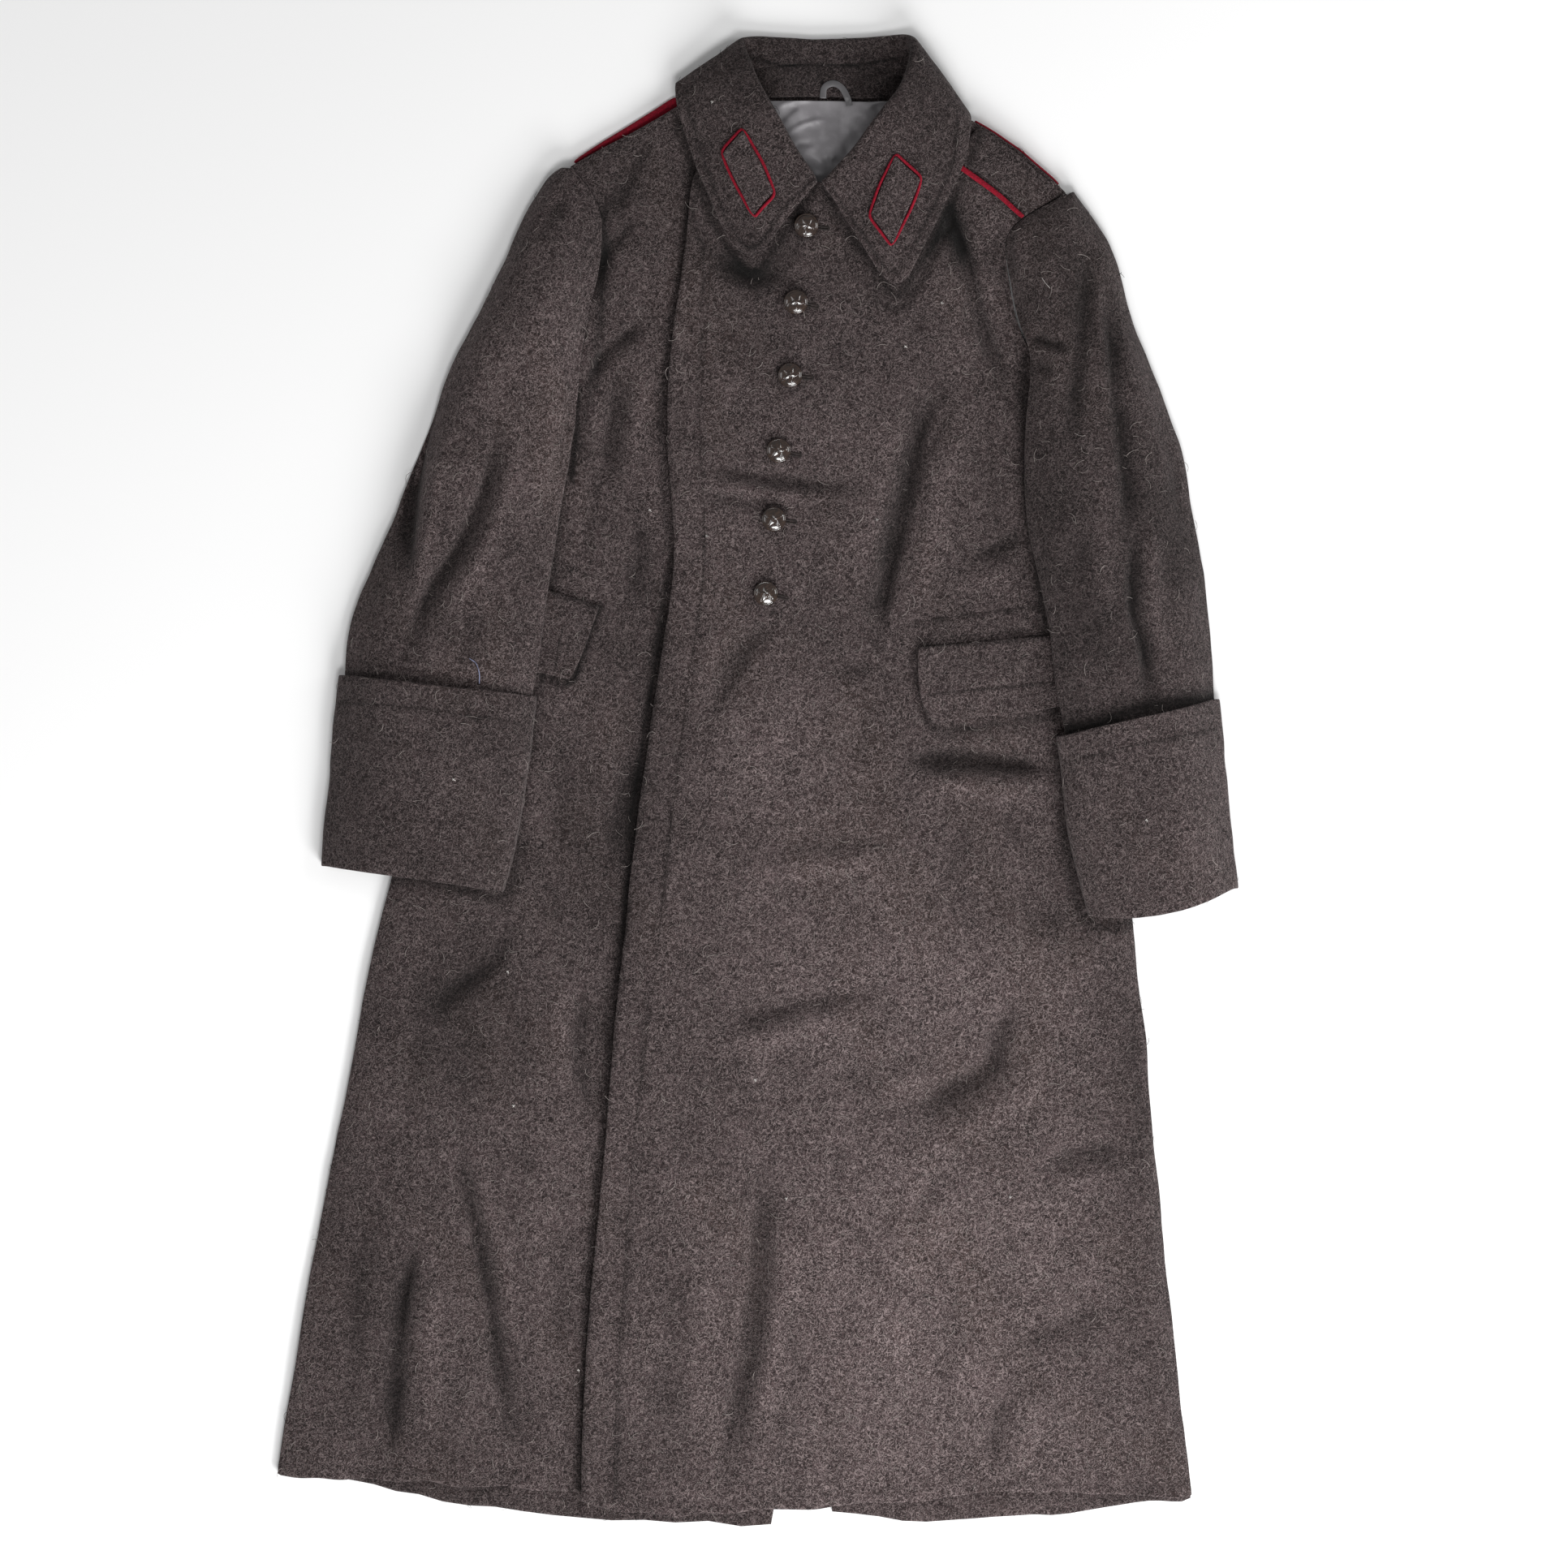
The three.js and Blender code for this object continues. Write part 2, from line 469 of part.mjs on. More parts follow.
// Reads y from a table of x and y, straight between its rows
function lineAt(rows, x, xName = 'x', yName = 'y') {
  const first = rows[0];
  if (x <= first[xName]) return first[yName];
  for (let i = 1; i < rows.length; i += 1) {
    const before = rows[i - 1];
    const after = rows[i];
    if (x <= after[xName]) {
      const t = (x - before[xName]) / (after[xName] - before[xName]);
      return mix(before[yName], after[yName], t);
    }
  }
  return rows[rows.length - 1][yName];
}

function segmentPlace(x, y, line) {
  const dx = line.x2 - line.x1;
  const dy = line.y2 - line.y1;
  const length = Math.hypot(dx, dy);
  const along = ((x - line.x1) * dx + (y - line.y1) * dy) / length;
  const across = ((x - line.x1) * dy - (y - line.y1) * dx) / length;
  return { along: along / length, across };
}

// Sum of the folds of a table at one place
function foldHeight(folds, x, y) {
  let height = 0;
  for (const fold of folds) {
    const { along, across } = segmentPlace(x, y, fold);
    const ends = smooth(-0.22, 0.22, along) * smooth(1.22, 0.78, along);
    const width = across < 0 ? fold.width * fold.spread : fold.width;
    height += fold.rise * ends * Math.exp(-((across / width) ** 2));
  }
  return height;
}

// Distance from a place to a line through points
function distanceTo(points, x, y) {
  let best = Infinity;
  for (let i = 1; i < points.length; i += 1) {
    const a = points[i - 1];
    const b = points[i];
    const dx = b.x - a.x;
    const dy = b.y - a.y;
    const t = clamp(((x - a.x) * dx + (y - a.y) * dy) / (dx * dx + dy * dy), 0, 1);
    best = Math.min(best, Math.hypot(x - a.x - dx * t, y - a.y - dy * t));
  }
  return best;
}

// Edges of the body, from the same tables as its panels
const rightEdge = FRONT_RIGHT_ROWS.map((row) => ({ x: row.lx, y: row.ly }));
const leftEdge = FRONT_LEFT_ROWS.map((row) => ({ x: row.rx, y: row.ry }));
const rightSide = rightEdge.slice(FRONT_RIGHT_ARMHOLE_ROWS);
const leftSide = leftEdge.slice(FRONT_LEFT_ARMHOLE_ROWS + 1);
const firstRight = FRONT_RIGHT_ROWS[0];
const firstLeft = FRONT_LEFT_ROWS[0];
const rightShoulder = [
  { x: firstRight.lx, y: firstRight.ly },
  { x: firstRight.rx, y: firstRight.ry },
];
const shoulderBow = (u) => SHOULDER_BOW * 4 * u * (1 - u);
const leftShoulder = [0, 0.25, 0.5, 0.75, 1].map((u) => ({
  x: mix(firstLeft.lx, firstLeft.rx, u),
  y: mix(firstLeft.ly, firstLeft.ry, u) + shoulderBow(u),
}));
const frontEdge = FRONT_LEFT_ROWS.slice(8).map((row) => ({ x: row.ly, y: row.lx })).reverse();
const frontEdgeX = (y) => lineAt(frontEdge, y);

const neckLift = (y) => NECK_LIFT * smooth(NECK_START, NECK_END, y);

// Height of the body's upper side without folds: it falls to its side and shoulder edges
function bodyLevel(x, y) {
  const onRight = x < BACK_CENTRE_TOP;
  const side = distanceTo(onRight ? rightSide : leftSide, x, y);
  const shoulder = distanceTo(onRight ? rightShoulder : leftShoulder, x, y);
  const near = clamp(Math.min(side, shoulder) / EDGE_ROUNDING, 0, 1);
  const low = FRONT_EDGE + neckLift(y);
  const hem = smooth(HEM_START, HEM_END, y);
  const level = mix(FRONT_LEVEL, HEM_LEVEL, hem) + neckLift(y) * NECK_FRONT_SHARE;
  const rounded = Math.sqrt(1 - (1 - near) ** 2);
  return { level: mix(low, level, rounded), low, rounded };
}

const lapAmount = (x) => smooth(LAP_OUTSIDE, LAP_INSIDE, x);

function frontRightTop(x, y) {
  const { level, low, rounded } = bodyLevel(x, y);
  const shown = smooth(TUCK_END, TUCK_START, x - frontEdgeX(y));
  const folds = foldHeight(FRONT_FOLDS, x, y) * rounded;
  const height = mix(level - LAP_STEP, level + folds, shown);
  return Math.max(height, low + LEAST_RISE * rounded);
}

function frontLeftTop(x, y) {
  const { level, low, rounded } = bodyLevel(x, y);
  const lap = lapAmount(x);
  const folds = foldHeight(FRONT_FOLDS, x, y) * rounded;
  const height = level + LAP_STEP * lap + folds;
  return Math.max(height, low + (LEAST_RISE + LEAST_LAP_RISE * lap) * rounded);
}

// Makes a closed wall from a grid of top points; its underside is moved in along the normals
function wall(grid, thickness, flatUnder = null) {
  const rows = grid.length;
  const columns = grid[0].length;
  const under = grid.map((row, i) =>
    row.map((point, j) => {
      const up = grid[Math.max(i - 1, 0)][j];
      const down = grid[Math.min(i + 1, rows - 1)][j];
      const left = row[Math.max(j - 1, 0)];
      const right = row[Math.min(j + 1, columns - 1)];
      const acrossStep = new THREE.Vector3().subVectors(right, left);
      const alongStep = new THREE.Vector3().subVectors(up, down);
      const normal = new THREE.Vector3().crossVectors(acrossStep, alongStep).normalize();
      const moved = point.clone().addScaledVector(normal, -thickness);
      if (flatUnder !== null && moved.z < flatUnder) moved.z = flatUnder;
      return moved;
    })
  );
  const positions = [];
  for (const layer of [grid, under]) {
    for (const row of layer) {
      for (const point of row) positions.push(point.x, point.y, point.z);
    }
  }
  const index = [];
  const top = (i, j) => i * columns + j;
  const low = (i, j) => rows * columns + i * columns + j;
  const quad = (a, b, c, d) => index.push(a, b, c, a, c, d);
  for (let i = 0; i + 1 < rows; i += 1) {
    for (let j = 0; j + 1 < columns; j += 1) {
      quad(top(i, j), top(i + 1, j), top(i + 1, j + 1), top(i, j + 1));
      quad(low(i, j), low(i, j + 1), low(i + 1, j + 1), low(i + 1, j));
    }
  }
  for (let j = 0; j + 1 < columns; j += 1) {
    quad(top(0, j), top(0, j + 1), low(0, j + 1), low(0, j));
    quad(top(rows - 1, j + 1), top(rows - 1, j), low(rows - 1, j), low(rows - 1, j + 1));
  }
  for (let i = 0; i + 1 < rows; i += 1) {
    quad(top(i + 1, 0), top(i, 0), low(i, 0), low(i + 1, 0));
    quad(top(i, columns - 1), top(i + 1, columns - 1), low(i + 1, columns - 1), low(i, columns - 1));
  }
  return geometry(positions, index);
}

function geometry(positions, index) {
  const shape = new THREE.BufferGeometry();
  shape.setAttribute('position', new THREE.Float32BufferAttribute(positions, 3));
  shape.setIndex(index);
  shape.computeVertexNormals();
  return shape;
}

// Closed ring wall: outer and inner loops in every row
function ringWall(outer, inner) {
  const rows = outer.length;
  const count = outer[0].length;
  const positions = [];
  for (const layer of [outer, inner]) {
    for (const row of layer) {
      for (const point of row) positions.push(point.x, point.y, point.z);
    }
  }
  const index = [];
  const out = (i, j) => i * count + (j % count);
  const inn = (i, j) => rows * count + i * count + (j % count);
  const quad = (a, b, c, d) => index.push(a, b, c, a, c, d);
  for (let i = 0; i + 1 < rows; i += 1) {
    for (let j = 0; j < count; j += 1) {
      quad(out(i, j), out(i + 1, j), out(i + 1, j + 1), out(i, j + 1));
      quad(inn(i, j), inn(i, j + 1), inn(i + 1, j + 1), inn(i + 1, j));
    }
  }
  for (let j = 0; j < count; j += 1) {
    quad(out(0, j), out(0, j + 1), inn(0, j + 1), inn(0, j));
    quad(out(rows - 1, j + 1), out(rows - 1, j), inn(rows - 1, j), inn(rows - 1, j + 1));
  }
  return geometry(positions, index);
}

const coat = new THREE.Group();
coat.name = 'greatcoat';

function addPiece(name, shape, colour, roughness = 0.9) {
  const material = new THREE.MeshStandardMaterial({ color: COLOURS[colour], roughness });
  const mesh = new THREE.Mesh(shape, material);
  mesh.name = name;
  coat.add(mesh);
}

// Spacing across a panel: closer columns near the edge that curls
const towardsEnd = (t, power) => 1 - (1 - t) ** power;
const towardsStart = (t, power) => t ** power;
const towardsBoth = (t) => mix(t, 0.5 - 0.5 * Math.cos(Math.PI * t), 0.75);

function panelGrid(rows, steps, columns, spacing, heightAt, shiftAt = null) {
  const grid = [];
  for (let i = 0; i <= steps; i += 1) {
    const v = i / steps;
    const line = [];
    for (let j = 0; j <= columns; j += 1) {
      const u = spacing(j / columns);
      const x = mix(column(rows, 'lx', v), column(rows, 'rx', v), u);
      let y = mix(column(rows, 'ly', v), column(rows, 'ry', v), u);
      if (shiftAt) y += shiftAt(x, y, u, v);
      line.push(new THREE.Vector3(x, y, heightAt(x, y, u, v)));
    }
    grid.push(line);
  }
  return grid;
}

// A hem table bends the last rows of a panel to its line
function hemShift(rows, hem) {
  const last = rows[rows.length - 1];
  return (x, y, u, v) => {
    const straight = mix(last.ly, last.ry, u);
    return (lineAt(hem, x) - straight) * smooth(0.8, 1, v);
  };
}

// Backs
function backGrid(side) {
  const right = side === 'right';
  const edge = right ? rightEdge : leftEdge;
  const hem = right ? HEM_BACK_RIGHT : HEM_BACK_LEFT;
  const steps = 18;
  const columns = 5;
  const grid = [];
  for (let i = 0; i <= steps; i += 1) {
    const v = i / steps;
    const outerX = column(edge, 'x', v);
    const outerY = column(edge, 'y', v);
    const centreY = mix(BACK_NECK.y, BACK_HEM_LINE, v);
    const centreLine = mix(BACK_CENTRE_TOP, BACK_CENTRE_HEM, v);
    const open = smooth(VENT_HEIGHT, BACK_HEM_LINE - 20, centreY);
    const shift = right ? -SEAM_GAP / 2 - VENT_RIGHT_SHIFT * open : SEAM_GAP / 2 + VENT_LEFT_SHIFT * open;
    const centreX = centreLine + shift;
    const line = [];
    for (let j = 0; j <= columns; j += 1) {
      const u = j / columns;
      const across = towardsStart(u, 1.4);
      const insideX = outerX + (right ? SEAM_GAP : -SEAM_GAP);
      const x = mix(insideX, centreX, across);
      let y = mix(outerY, centreY, smooth(0, 1, across));
      if (i === 0) y = Math.min(y, BACK_NECK.y);
      const straight = mix(edge[edge.length - 1].y, BACK_HEM_LINE, smooth(0, 1, across));
      y += (lineAt(hem, x) - straight) * smooth(0.82, 1, v);
      const z = WOOL + neckLift(y);
      line.push(new THREE.Vector3(x, y, z));
    }
    if (!right) line.reverse();
    grid.push(line);
  }
  return grid;
}
addPiece('back_right', wall(backGrid('right'), WOOL, 0), 'wool');
addPiece('back_left', wall(backGrid('left'), WOOL, 0), 'wool');

// Fronts
const frontRightGrid = panelGrid(
  FRONT_RIGHT_ROWS,
  34,
  11,
  (t) => towardsStart(t, 1.3),
  frontRightTop,
  hemShift(FRONT_RIGHT_ROWS, HEM_FRONT_RIGHT)
);
addPiece('front_right', wall(frontRightGrid, WOOL), 'wool');
const hemLeft = hemShift(FRONT_LEFT_ROWS, HEM_FRONT_LEFT);
const frontLeftGrid = panelGrid(
  FRONT_LEFT_ROWS,
  38,
  15,
  (t) => towardsEnd(t, 1.4),
  frontLeftTop,
  (x, y, u, v) => hemLeft(x, y, u, v) + shoulderBow(u) * smooth(0.05, 0, v)
);
addPiece('front_left', wall(frontLeftGrid, WOOL), 'wool');

// Lining
const liningTop = (x, y) => WOOL + NECK_LIFT + SEAM_GAP + LINING + foldHeight(LINING_FOLDS, x, y);
const liningGrid = panelGrid(LINING_ROWS, 9, 12, (t) => t, liningTop);
addPiece('lining', wall(liningGrid, LINING), 'satin');

// What the sleeves and cuffs rest on: the floor outside the body, the front inside it
const insideRight = (x, y) => {
  const edgeX = lineAt([...rightEdge].reverse(), y, 'y', 'x');
  return distanceTo(rightEdge, x, y) * Math.sign(x - edgeX);
};
const insideLeft = (x, y) => {
  const edgeX = lineAt([...leftEdge].reverse(), y, 'y', 'x');
  return distanceTo(leftEdge, x, y) * Math.sign(edgeX - x);
};
const REST = {
  right: {
    inside: insideRight,
    top: frontRightTop,
    start: 412,
    full: 362,
    flap: { low: 72, high: 88, end: 168, stop: 186, from: -205, to: -150 },
  },
  left: {
    inside: insideLeft,
    top: frontLeftTop,
    start: 430,
    full: 386,
    flap: { low: 36, high: 52, end: 124, stop: 142, from: 235, to: 280 },
  },
};

function restLevel(side, x, y) {
  const rest = REST[side];
  const depth = rest.inside(x, y);
  const ramp = clamp((depth + CLIMB_START) / (CLIMB_START - CLIMB_END), 0, 1);
  const climb = ramp * smooth(rest.start, rest.full, y);
  const ridges = Math.max(0, foldHeight(FRONT_FOLDS.filter((fold) => fold.rise > 0), x, y));
  const hem = mix(FRONT_LEVEL, HEM_LEVEL, smooth(HEM_START, HEM_END, y));
  const over = hem + ridges + neckLift(y) * NECK_FRONT_SHARE + LAYER_GAP;
  const { low, high, end, stop, from, to } = rest.flap;
  const upFlap = smooth(low, high, y) * smooth(stop, end, y);
  const nearFlap = smooth(from - 24, from, x) * smooth(to + 24, to, x);
  return climb * (over + (WOOL + 1.8) * upFlap * nearFlap);
}

// Columns across a row of a sleeve's lower side, with one at each end of the climb onto the body
const CLIMB_COLUMNS = [2, 2, 4];
function climbColumns(side, left, right) {
  const depthAt = (u) => REST[side].inside(mix(left.x, right.x, u), mix(left.y, right.y, u));
  const rising = side === 'right';
  const find = (depth, other) => {
    let low = 0;
    let high = 1;
    for (let i = 0; i < 24; i += 1) {
      const middle = (low + high) / 2;
      if (depthAt(middle) > depth === rising) high = middle;
      else low = middle;
    }
    return low > 0.04 && low < 0.96 ? low : other;
  };
  const start = find(-CLIMB_START, rising ? 0.3 : 0.7);
  const end = find(-CLIMB_END, rising ? 0.6 : 0.4);
  const breaks = rising ? [0, start, Math.max(end, start + 0.05), 1] : [0, Math.min(end, start - 0.05), start, 1];
  const counts = rising ? CLIMB_COLUMNS : [...CLIMB_COLUMNS].reverse();
  const columns = [0];
  counts.forEach((count, part) => {
    for (let k = 1; k <= count; k += 1) columns.push(mix(breaks[part], breaks[part + 1], k / count));
  });
  return columns;
}

// Height across a sleeve: rounded at each closed edge, softer where it joins the armhole
function crossing(u, place, edgeL, edgeR, crown, powerL, powerR) {
  const left = u < place;
  const w = left ? (place - u) / place : (u - place) / (1 - place);
  const edge = left ? edgeL : edgeR;
  return edge + (crown - edge) * (1 - w ** (left ? powerL : powerR));
}

const SLEEVES = {
  right: { rows: SLEEVE_RIGHT_ROWS, folds: SLEEVE_RIGHT_FOLDS, seam: 'r' },
  left: { rows: SLEEVE_LEFT_ROWS, folds: SLEEVE_LEFT_FOLDS, seam: 'l' },
};
const CUFF_FROM = 0.776;
const IN_CUFF = WOOL + 1.2;
const IN_CUFF_CLIMB = 0.8;

function underSleeveLevel(side, x, y, v) {
  const rest = restLevel(side, x, y);
  const climbed = clamp(rest / FRONT_LEVEL, 0, 1);
  const lift = IN_CUFF + IN_CUFF_CLIMB * 4 * climbed * (1 - climbed);
  return rest + lift * smooth(CUFF_FROM, CUFF_FROM + 0.05, v);
}

function sleeveTop(side, u, v, x, y) {
  const { rows, folds, seam } = SLEEVES[side];
  const closedEdge = WOOL * 2 + LAYER_GAP;
  const edges = {};
  for (const key of ['l', 'r']) {
    const ex = column(rows, key + 'x', v);
    const ey = column(rows, key + 'y', v);
    let level = underSleeveLevel(side, ex, ey, v) + closedEdge;
    const joined = key === seam ? smooth(REST[side].full - 20, REST[side].start, ey) : 0;
    const body = REST[side].top(ex + (seam === 'r' ? 4 : -4), ey);
    level = Math.max(level, body * joined);
    edges[key] = { level, power: mix(SLEEVE_EDGE_POWER, 1.6, joined), joined };
  }
  const crown = column(rows, 'crown', v);
  const place = column(rows, 'place', v);
  const { l, r } = edges;
  const rounded = crossing(u, place, l.level, r.level, crown, l.power, r.power);
  const edgeFade = smooth(0, 0.12, u) * smooth(1, 0.88, u);
  const height = rounded + foldHeight(folds, x, y) * edgeFade;
  return Math.max(height, underSleeveLevel(side, x, y, v) + closedEdge + LAYER_GAP * edgeFade);
}

for (const side of ['right', 'left']) {
  const { rows, seam } = SLEEVES[side];
  const topGrid = panelGrid(rows, SLEEVE_STEPS, 9, towardsBoth, (x, y, u, v) => sleeveTop(side, u, v, x, y));
  addPiece(`sleeve_${side}_top`, wall(topGrid, WOOL), 'wool');
  const underRows = rows.map((row) => ({
    ...row,
    lx: row.lx + (seam === 'l' ? SLEEVE_INSET * smooth(300, 360, row.ly) : 0),
    rx: row.rx - (seam === 'r' ? SLEEVE_INSET * smooth(300, 360, row.ry) : 0),
  }));
  const underGrid = [];
  for (let i = 0; i <= SLEEVE_STEPS; i += 1) {
    const v = i / SLEEVE_STEPS;
    const left = { x: column(underRows, 'lx', v), y: column(underRows, 'ly', v) };
    const right = { x: column(underRows, 'rx', v), y: column(underRows, 'ry', v) };
    underGrid.push(
      climbColumns(side, left, right).map((u) => {
        const x = mix(left.x, right.x, u);
        const y = mix(left.y, right.y, u);
        return new THREE.Vector3(x, y, underSleeveLevel(side, x, y, v) + WOOL);
      })
    );
  }
  addPiece(`sleeve_${side}_under`, wall(underGrid, WOOL, 0), 'wool');
}

// Cuffs: a ring round each sleeve end, its lower side on what the sleeve rests on
function cuffRing(side, rows, hemBow) {
  const steps = 5;
  const across = 8;
  const outer = [];
  const inner = [];
  for (let i = 0; i <= steps; i += 1) {
    const v = i / steps;
    const read = (name) => column(rows, name, v);
    const left = new THREE.Vector3(read('lx') + CUFF_ROUND, read('ly'), 0);
    const right = new THREE.Vector3(read('rx') - CUFF_ROUND, read('ry'), 0);
    const length = left.distanceTo(right);
    const upper = [];
    const lower = [];
    for (let j = 0; j <= across; j += 1) {
      const u = towardsBoth(j / across);
      const x = mix(left.x, right.x, u);
      const y = mix(left.y, right.y, u) - hemBow * 4 * u * (1 - u) * smooth(0.5, 1, v);
      const rest = restLevel(side, x, y);
      const edgeL = restLevel(side, left.x, left.y) + CUFF_EDGE;
      const edgeR = restLevel(side, right.x, right.y) + CUFF_EDGE;
      const top = crossing(u, read('place'), edgeL, edgeR, read('crown'), 3.2, 3.2);
      upper.push({ s: u * length, z: Math.max(top, rest + CUFF_EDGE), x, y });
    }
    for (const u of climbColumns(side, left, right)) {
      const x = mix(left.x, right.x, u);
      const y = mix(left.y, right.y, u) - hemBow * 4 * u * (1 - u) * smooth(0.5, 1, v);
      lower.push({ s: u * length, z: restLevel(side, x, y), x, y });
    }
    const round = (end, sign) => {
      const middle = (upper[end].z + lower[end].z) / 2;
      const half = (upper[end].z - lower[end].z) / 2;
      const points = [0.62, 0, -0.62].map((part) => {
        const out = CUFF_ROUND * Math.sqrt(1 - part * part) * sign;
        return { s: upper[end].s + out, z: middle + half * part, x: upper[end].x + out, y: upper[end].y };
      });
      return points;
    };
    const rightRound = round(across, 1);
    const leftRound = round(0, -1).reverse();
    const ring = [...upper, ...rightRound, ...lower.reverse(), ...leftRound];
    outer.push(ring.map((point) => new THREE.Vector3(point.x, point.y, point.z)));
    inner.push(
      ring.map((point, k) => {
        const before = ring[(k + ring.length - 1) % ring.length];
        const after = ring[(k + 1) % ring.length];
        const ds = after.s - before.s;
        const dz = after.z - before.z;
        const size = Math.hypot(ds, dz);
        return new THREE.Vector3(point.x + (dz / size) * WOOL, point.y, point.z - (ds / size) * WOOL);
      })
    );
  }
  return { outer, inner };
}
for (const [side, rows, bow] of [
  ['right', CUFF_RIGHT_ROWS, CUFF_HEM_RIGHT],
  ['left', CUFF_LEFT_ROWS, CUFF_HEM_LEFT],
]) {
  const { outer, inner } = cuffRing(side, rows, bow);
  addPiece(`cuff_${side}`, ringWall(outer, inner), 'wool');
}

// Collar: each station runs from the sewn edge over the roll to the free edge
function collarGrid() {
  const legSteps = [0, 0.4, 0.75];
  const bendAngles = [-90, -45, 0, 45, 90];
  const fallSteps = [0.25, 0.5, 0.75, 0.92, 1];
  const stations = COLLAR_STATIONS.length - 1;
  const steps = Math.round(stations * 1.5);
  const grid = [];
  for (let i = 0; i <= steps; i += 1) {
    const v = i / steps;
    const read = (name) => column(COLLAR_STATIONS, name, v);
    const facing = THREE.MathUtils.degToRad(read('side'));
    const roll = new THREE.Vector3(read('rx'), read('ry'), read('rz'));
    const sewn = new THREE.Vector3(read('sx'), read('sy'), read('sz'));
    const free = new THREE.Vector3(read('fx'), read('fy'), read('fz'));
    const fallDirection = new THREE.Vector3(free.x - roll.x, free.y - roll.y, 0).normalize();
    const legDirection = new THREE.Vector3(sewn.x - roll.x, sewn.y - roll.y, 0).normalize();
    const back = fallDirection.clone().add(legDirection).normalize();
    const sideways = new THREE.Vector3(-back.y, back.x, 0);
    if (sideways.x < 0) sideways.negate();
    const out = sideways.multiplyScalar(Math.cos(facing));
    out.z = Math.sin(facing);
    const centre = roll.clone().addScaledVector(back, ROLL_RADIUS);
    const line = [];
    const legEnd = centre.clone().addScaledVector(out, -ROLL_RADIUS);
    const fallStart = centre.clone().addScaledVector(out, ROLL_RADIUS);
    for (const t of legSteps) line.push(sewn.clone().lerp(legEnd, t));
    for (const angle of bendAngles) {
      const a = THREE.MathUtils.degToRad(angle);
      const point = centre.clone().addScaledVector(back, -Math.cos(a) * ROLL_RADIUS);
      line.push(point.addScaledVector(out, Math.sin(a) * ROLL_RADIUS));
    }
    for (const t of fallSteps) {
      const point = fallStart.clone().lerp(free, t);
      line.push(point.addScaledVector(out, COLLAR_BULGE * Math.max(0, out.z) * Math.sin(Math.PI * t)));
    }
    grid.push(line);
  }
  return grid;
}
const collarOuter = collarGrid();
addPiece('collar', wall(collarOuter, WOOL), 'wool');

// Stand inside the back of the neck, below the collar's sewn edge
const sewnEdge = COLLAR_STATIONS.slice(8, 18).map((station) => ({ x: station.sx, y: station.sy }));
const standGrid = [];
for (const part of [1, 0.5, 0]) {
  const line = [];
  for (let j = 0; j <= 12; j += 1) {
    const x = mix(COLLAR_STAND_ROWS[0].x, COLLAR_STAND_ROWS[6].x, j / 12);
    const top = lineAt(sewnEdge, x) - SEAM_GAP * 2;
    const bottom = lineAt(COLLAR_STAND_ROWS, x, 'x', 'bottom');
    line.push(new THREE.Vector3(x, mix(bottom, top, part), STAND_LEVEL));
  }
  standGrid.push(line);
}
addPiece('collar_stand', wall(standGrid, WOOL), 'wool');

// Height of the highest triangle of a grid over a place
function heightOn(grid, x, y) {
  let best = -Infinity;
  const test = (a, b, c) => {
    const area = (b.x - a.x) * (c.y - a.y) - (c.x - a.x) * (b.y - a.y);
    if (Math.abs(area) < 1e-9) return;
    const s = ((x - a.x) * (c.y - a.y) - (c.x - a.x) * (y - a.y)) / area;
    const t = ((b.x - a.x) * (y - a.y) - (x - a.x) * (b.y - a.y)) / area;
    if (s < -1e-6 || t < -1e-6 || s + t > 1 + 1e-6) return;
    best = Math.max(best, a.z + s * (b.z - a.z) + t * (c.z - a.z));
  };
  for (let i = 0; i + 1 < grid.length; i += 1) {
    for (let j = 0; j + 1 < grid[0].length; j += 1) {
      test(grid[i][j], grid[i + 1][j], grid[i + 1][j + 1]);
      test(grid[i][j], grid[i + 1][j + 1], grid[i][j + 1]);
    }
  }
  return best;
}
const leafTop = (x, y) => heightOn(collarOuter, x, y);

// A cord of low rounded section along a path that lies on something
function strip(path, closed, height, levelAt) {
  const rings = [];
  const count = path.length;
  for (let i = 0; i < count; i += 1) {
    const before = closed ? path[(i + count - 1) % count] : path[Math.max(i - 1, 0)];
    const after = closed ? path[(i + 1) % count] : path[Math.min(i + 1, count - 1)];
    const point = path[i];
    const size = Math.hypot(after.x - before.x, after.y - before.y);
    const nx = -(after.y - before.y) / size;
    const ny = (after.x - before.x) / size;
    const half = point.width / 2;
    const section = [
      { across: half, up: 0 },
      { across: half, up: 0.55 },
      { across: 0, up: 1 },
      { across: -half, up: 0.55 },
      { across: -half, up: 0 },
    ];
    const base = levelAt(point.x, point.y);
    rings.push(
      section.map(({ across, up }) => {
        const x = point.x + nx * across;
        const y = point.y + ny * across;
        const level = Math.max(levelAt(x, y), base - half);
        return new THREE.Vector3(x, y, level + height * up);
      })
    );
  }
  const positions = [];
  for (const ring of rings) for (const point of ring) positions.push(point.x, point.y, point.z);
  const sides = rings[0].length;
  const index = [];
  const at = (i, k) => (i % count) * sides + (k % sides);
  const last = closed ? count : count - 1;
  for (let i = 0; i < last; i += 1) {
    for (let k = 0; k < sides; k += 1) {
      index.push(at(i, k), at(i + 1, k + 1), at(i + 1, k), at(i, k), at(i, k + 1), at(i + 1, k + 1));
    }
  }
  if (!closed) {
    for (let k = 1; k + 1 < sides; k += 1) {
      index.push(at(0, 0), at(0, k + 1), at(0, k));
      index.push(at(count - 1, 0), at(count - 1, k), at(count - 1, k + 1));
    }
  }
  return geometry(positions, index);
}

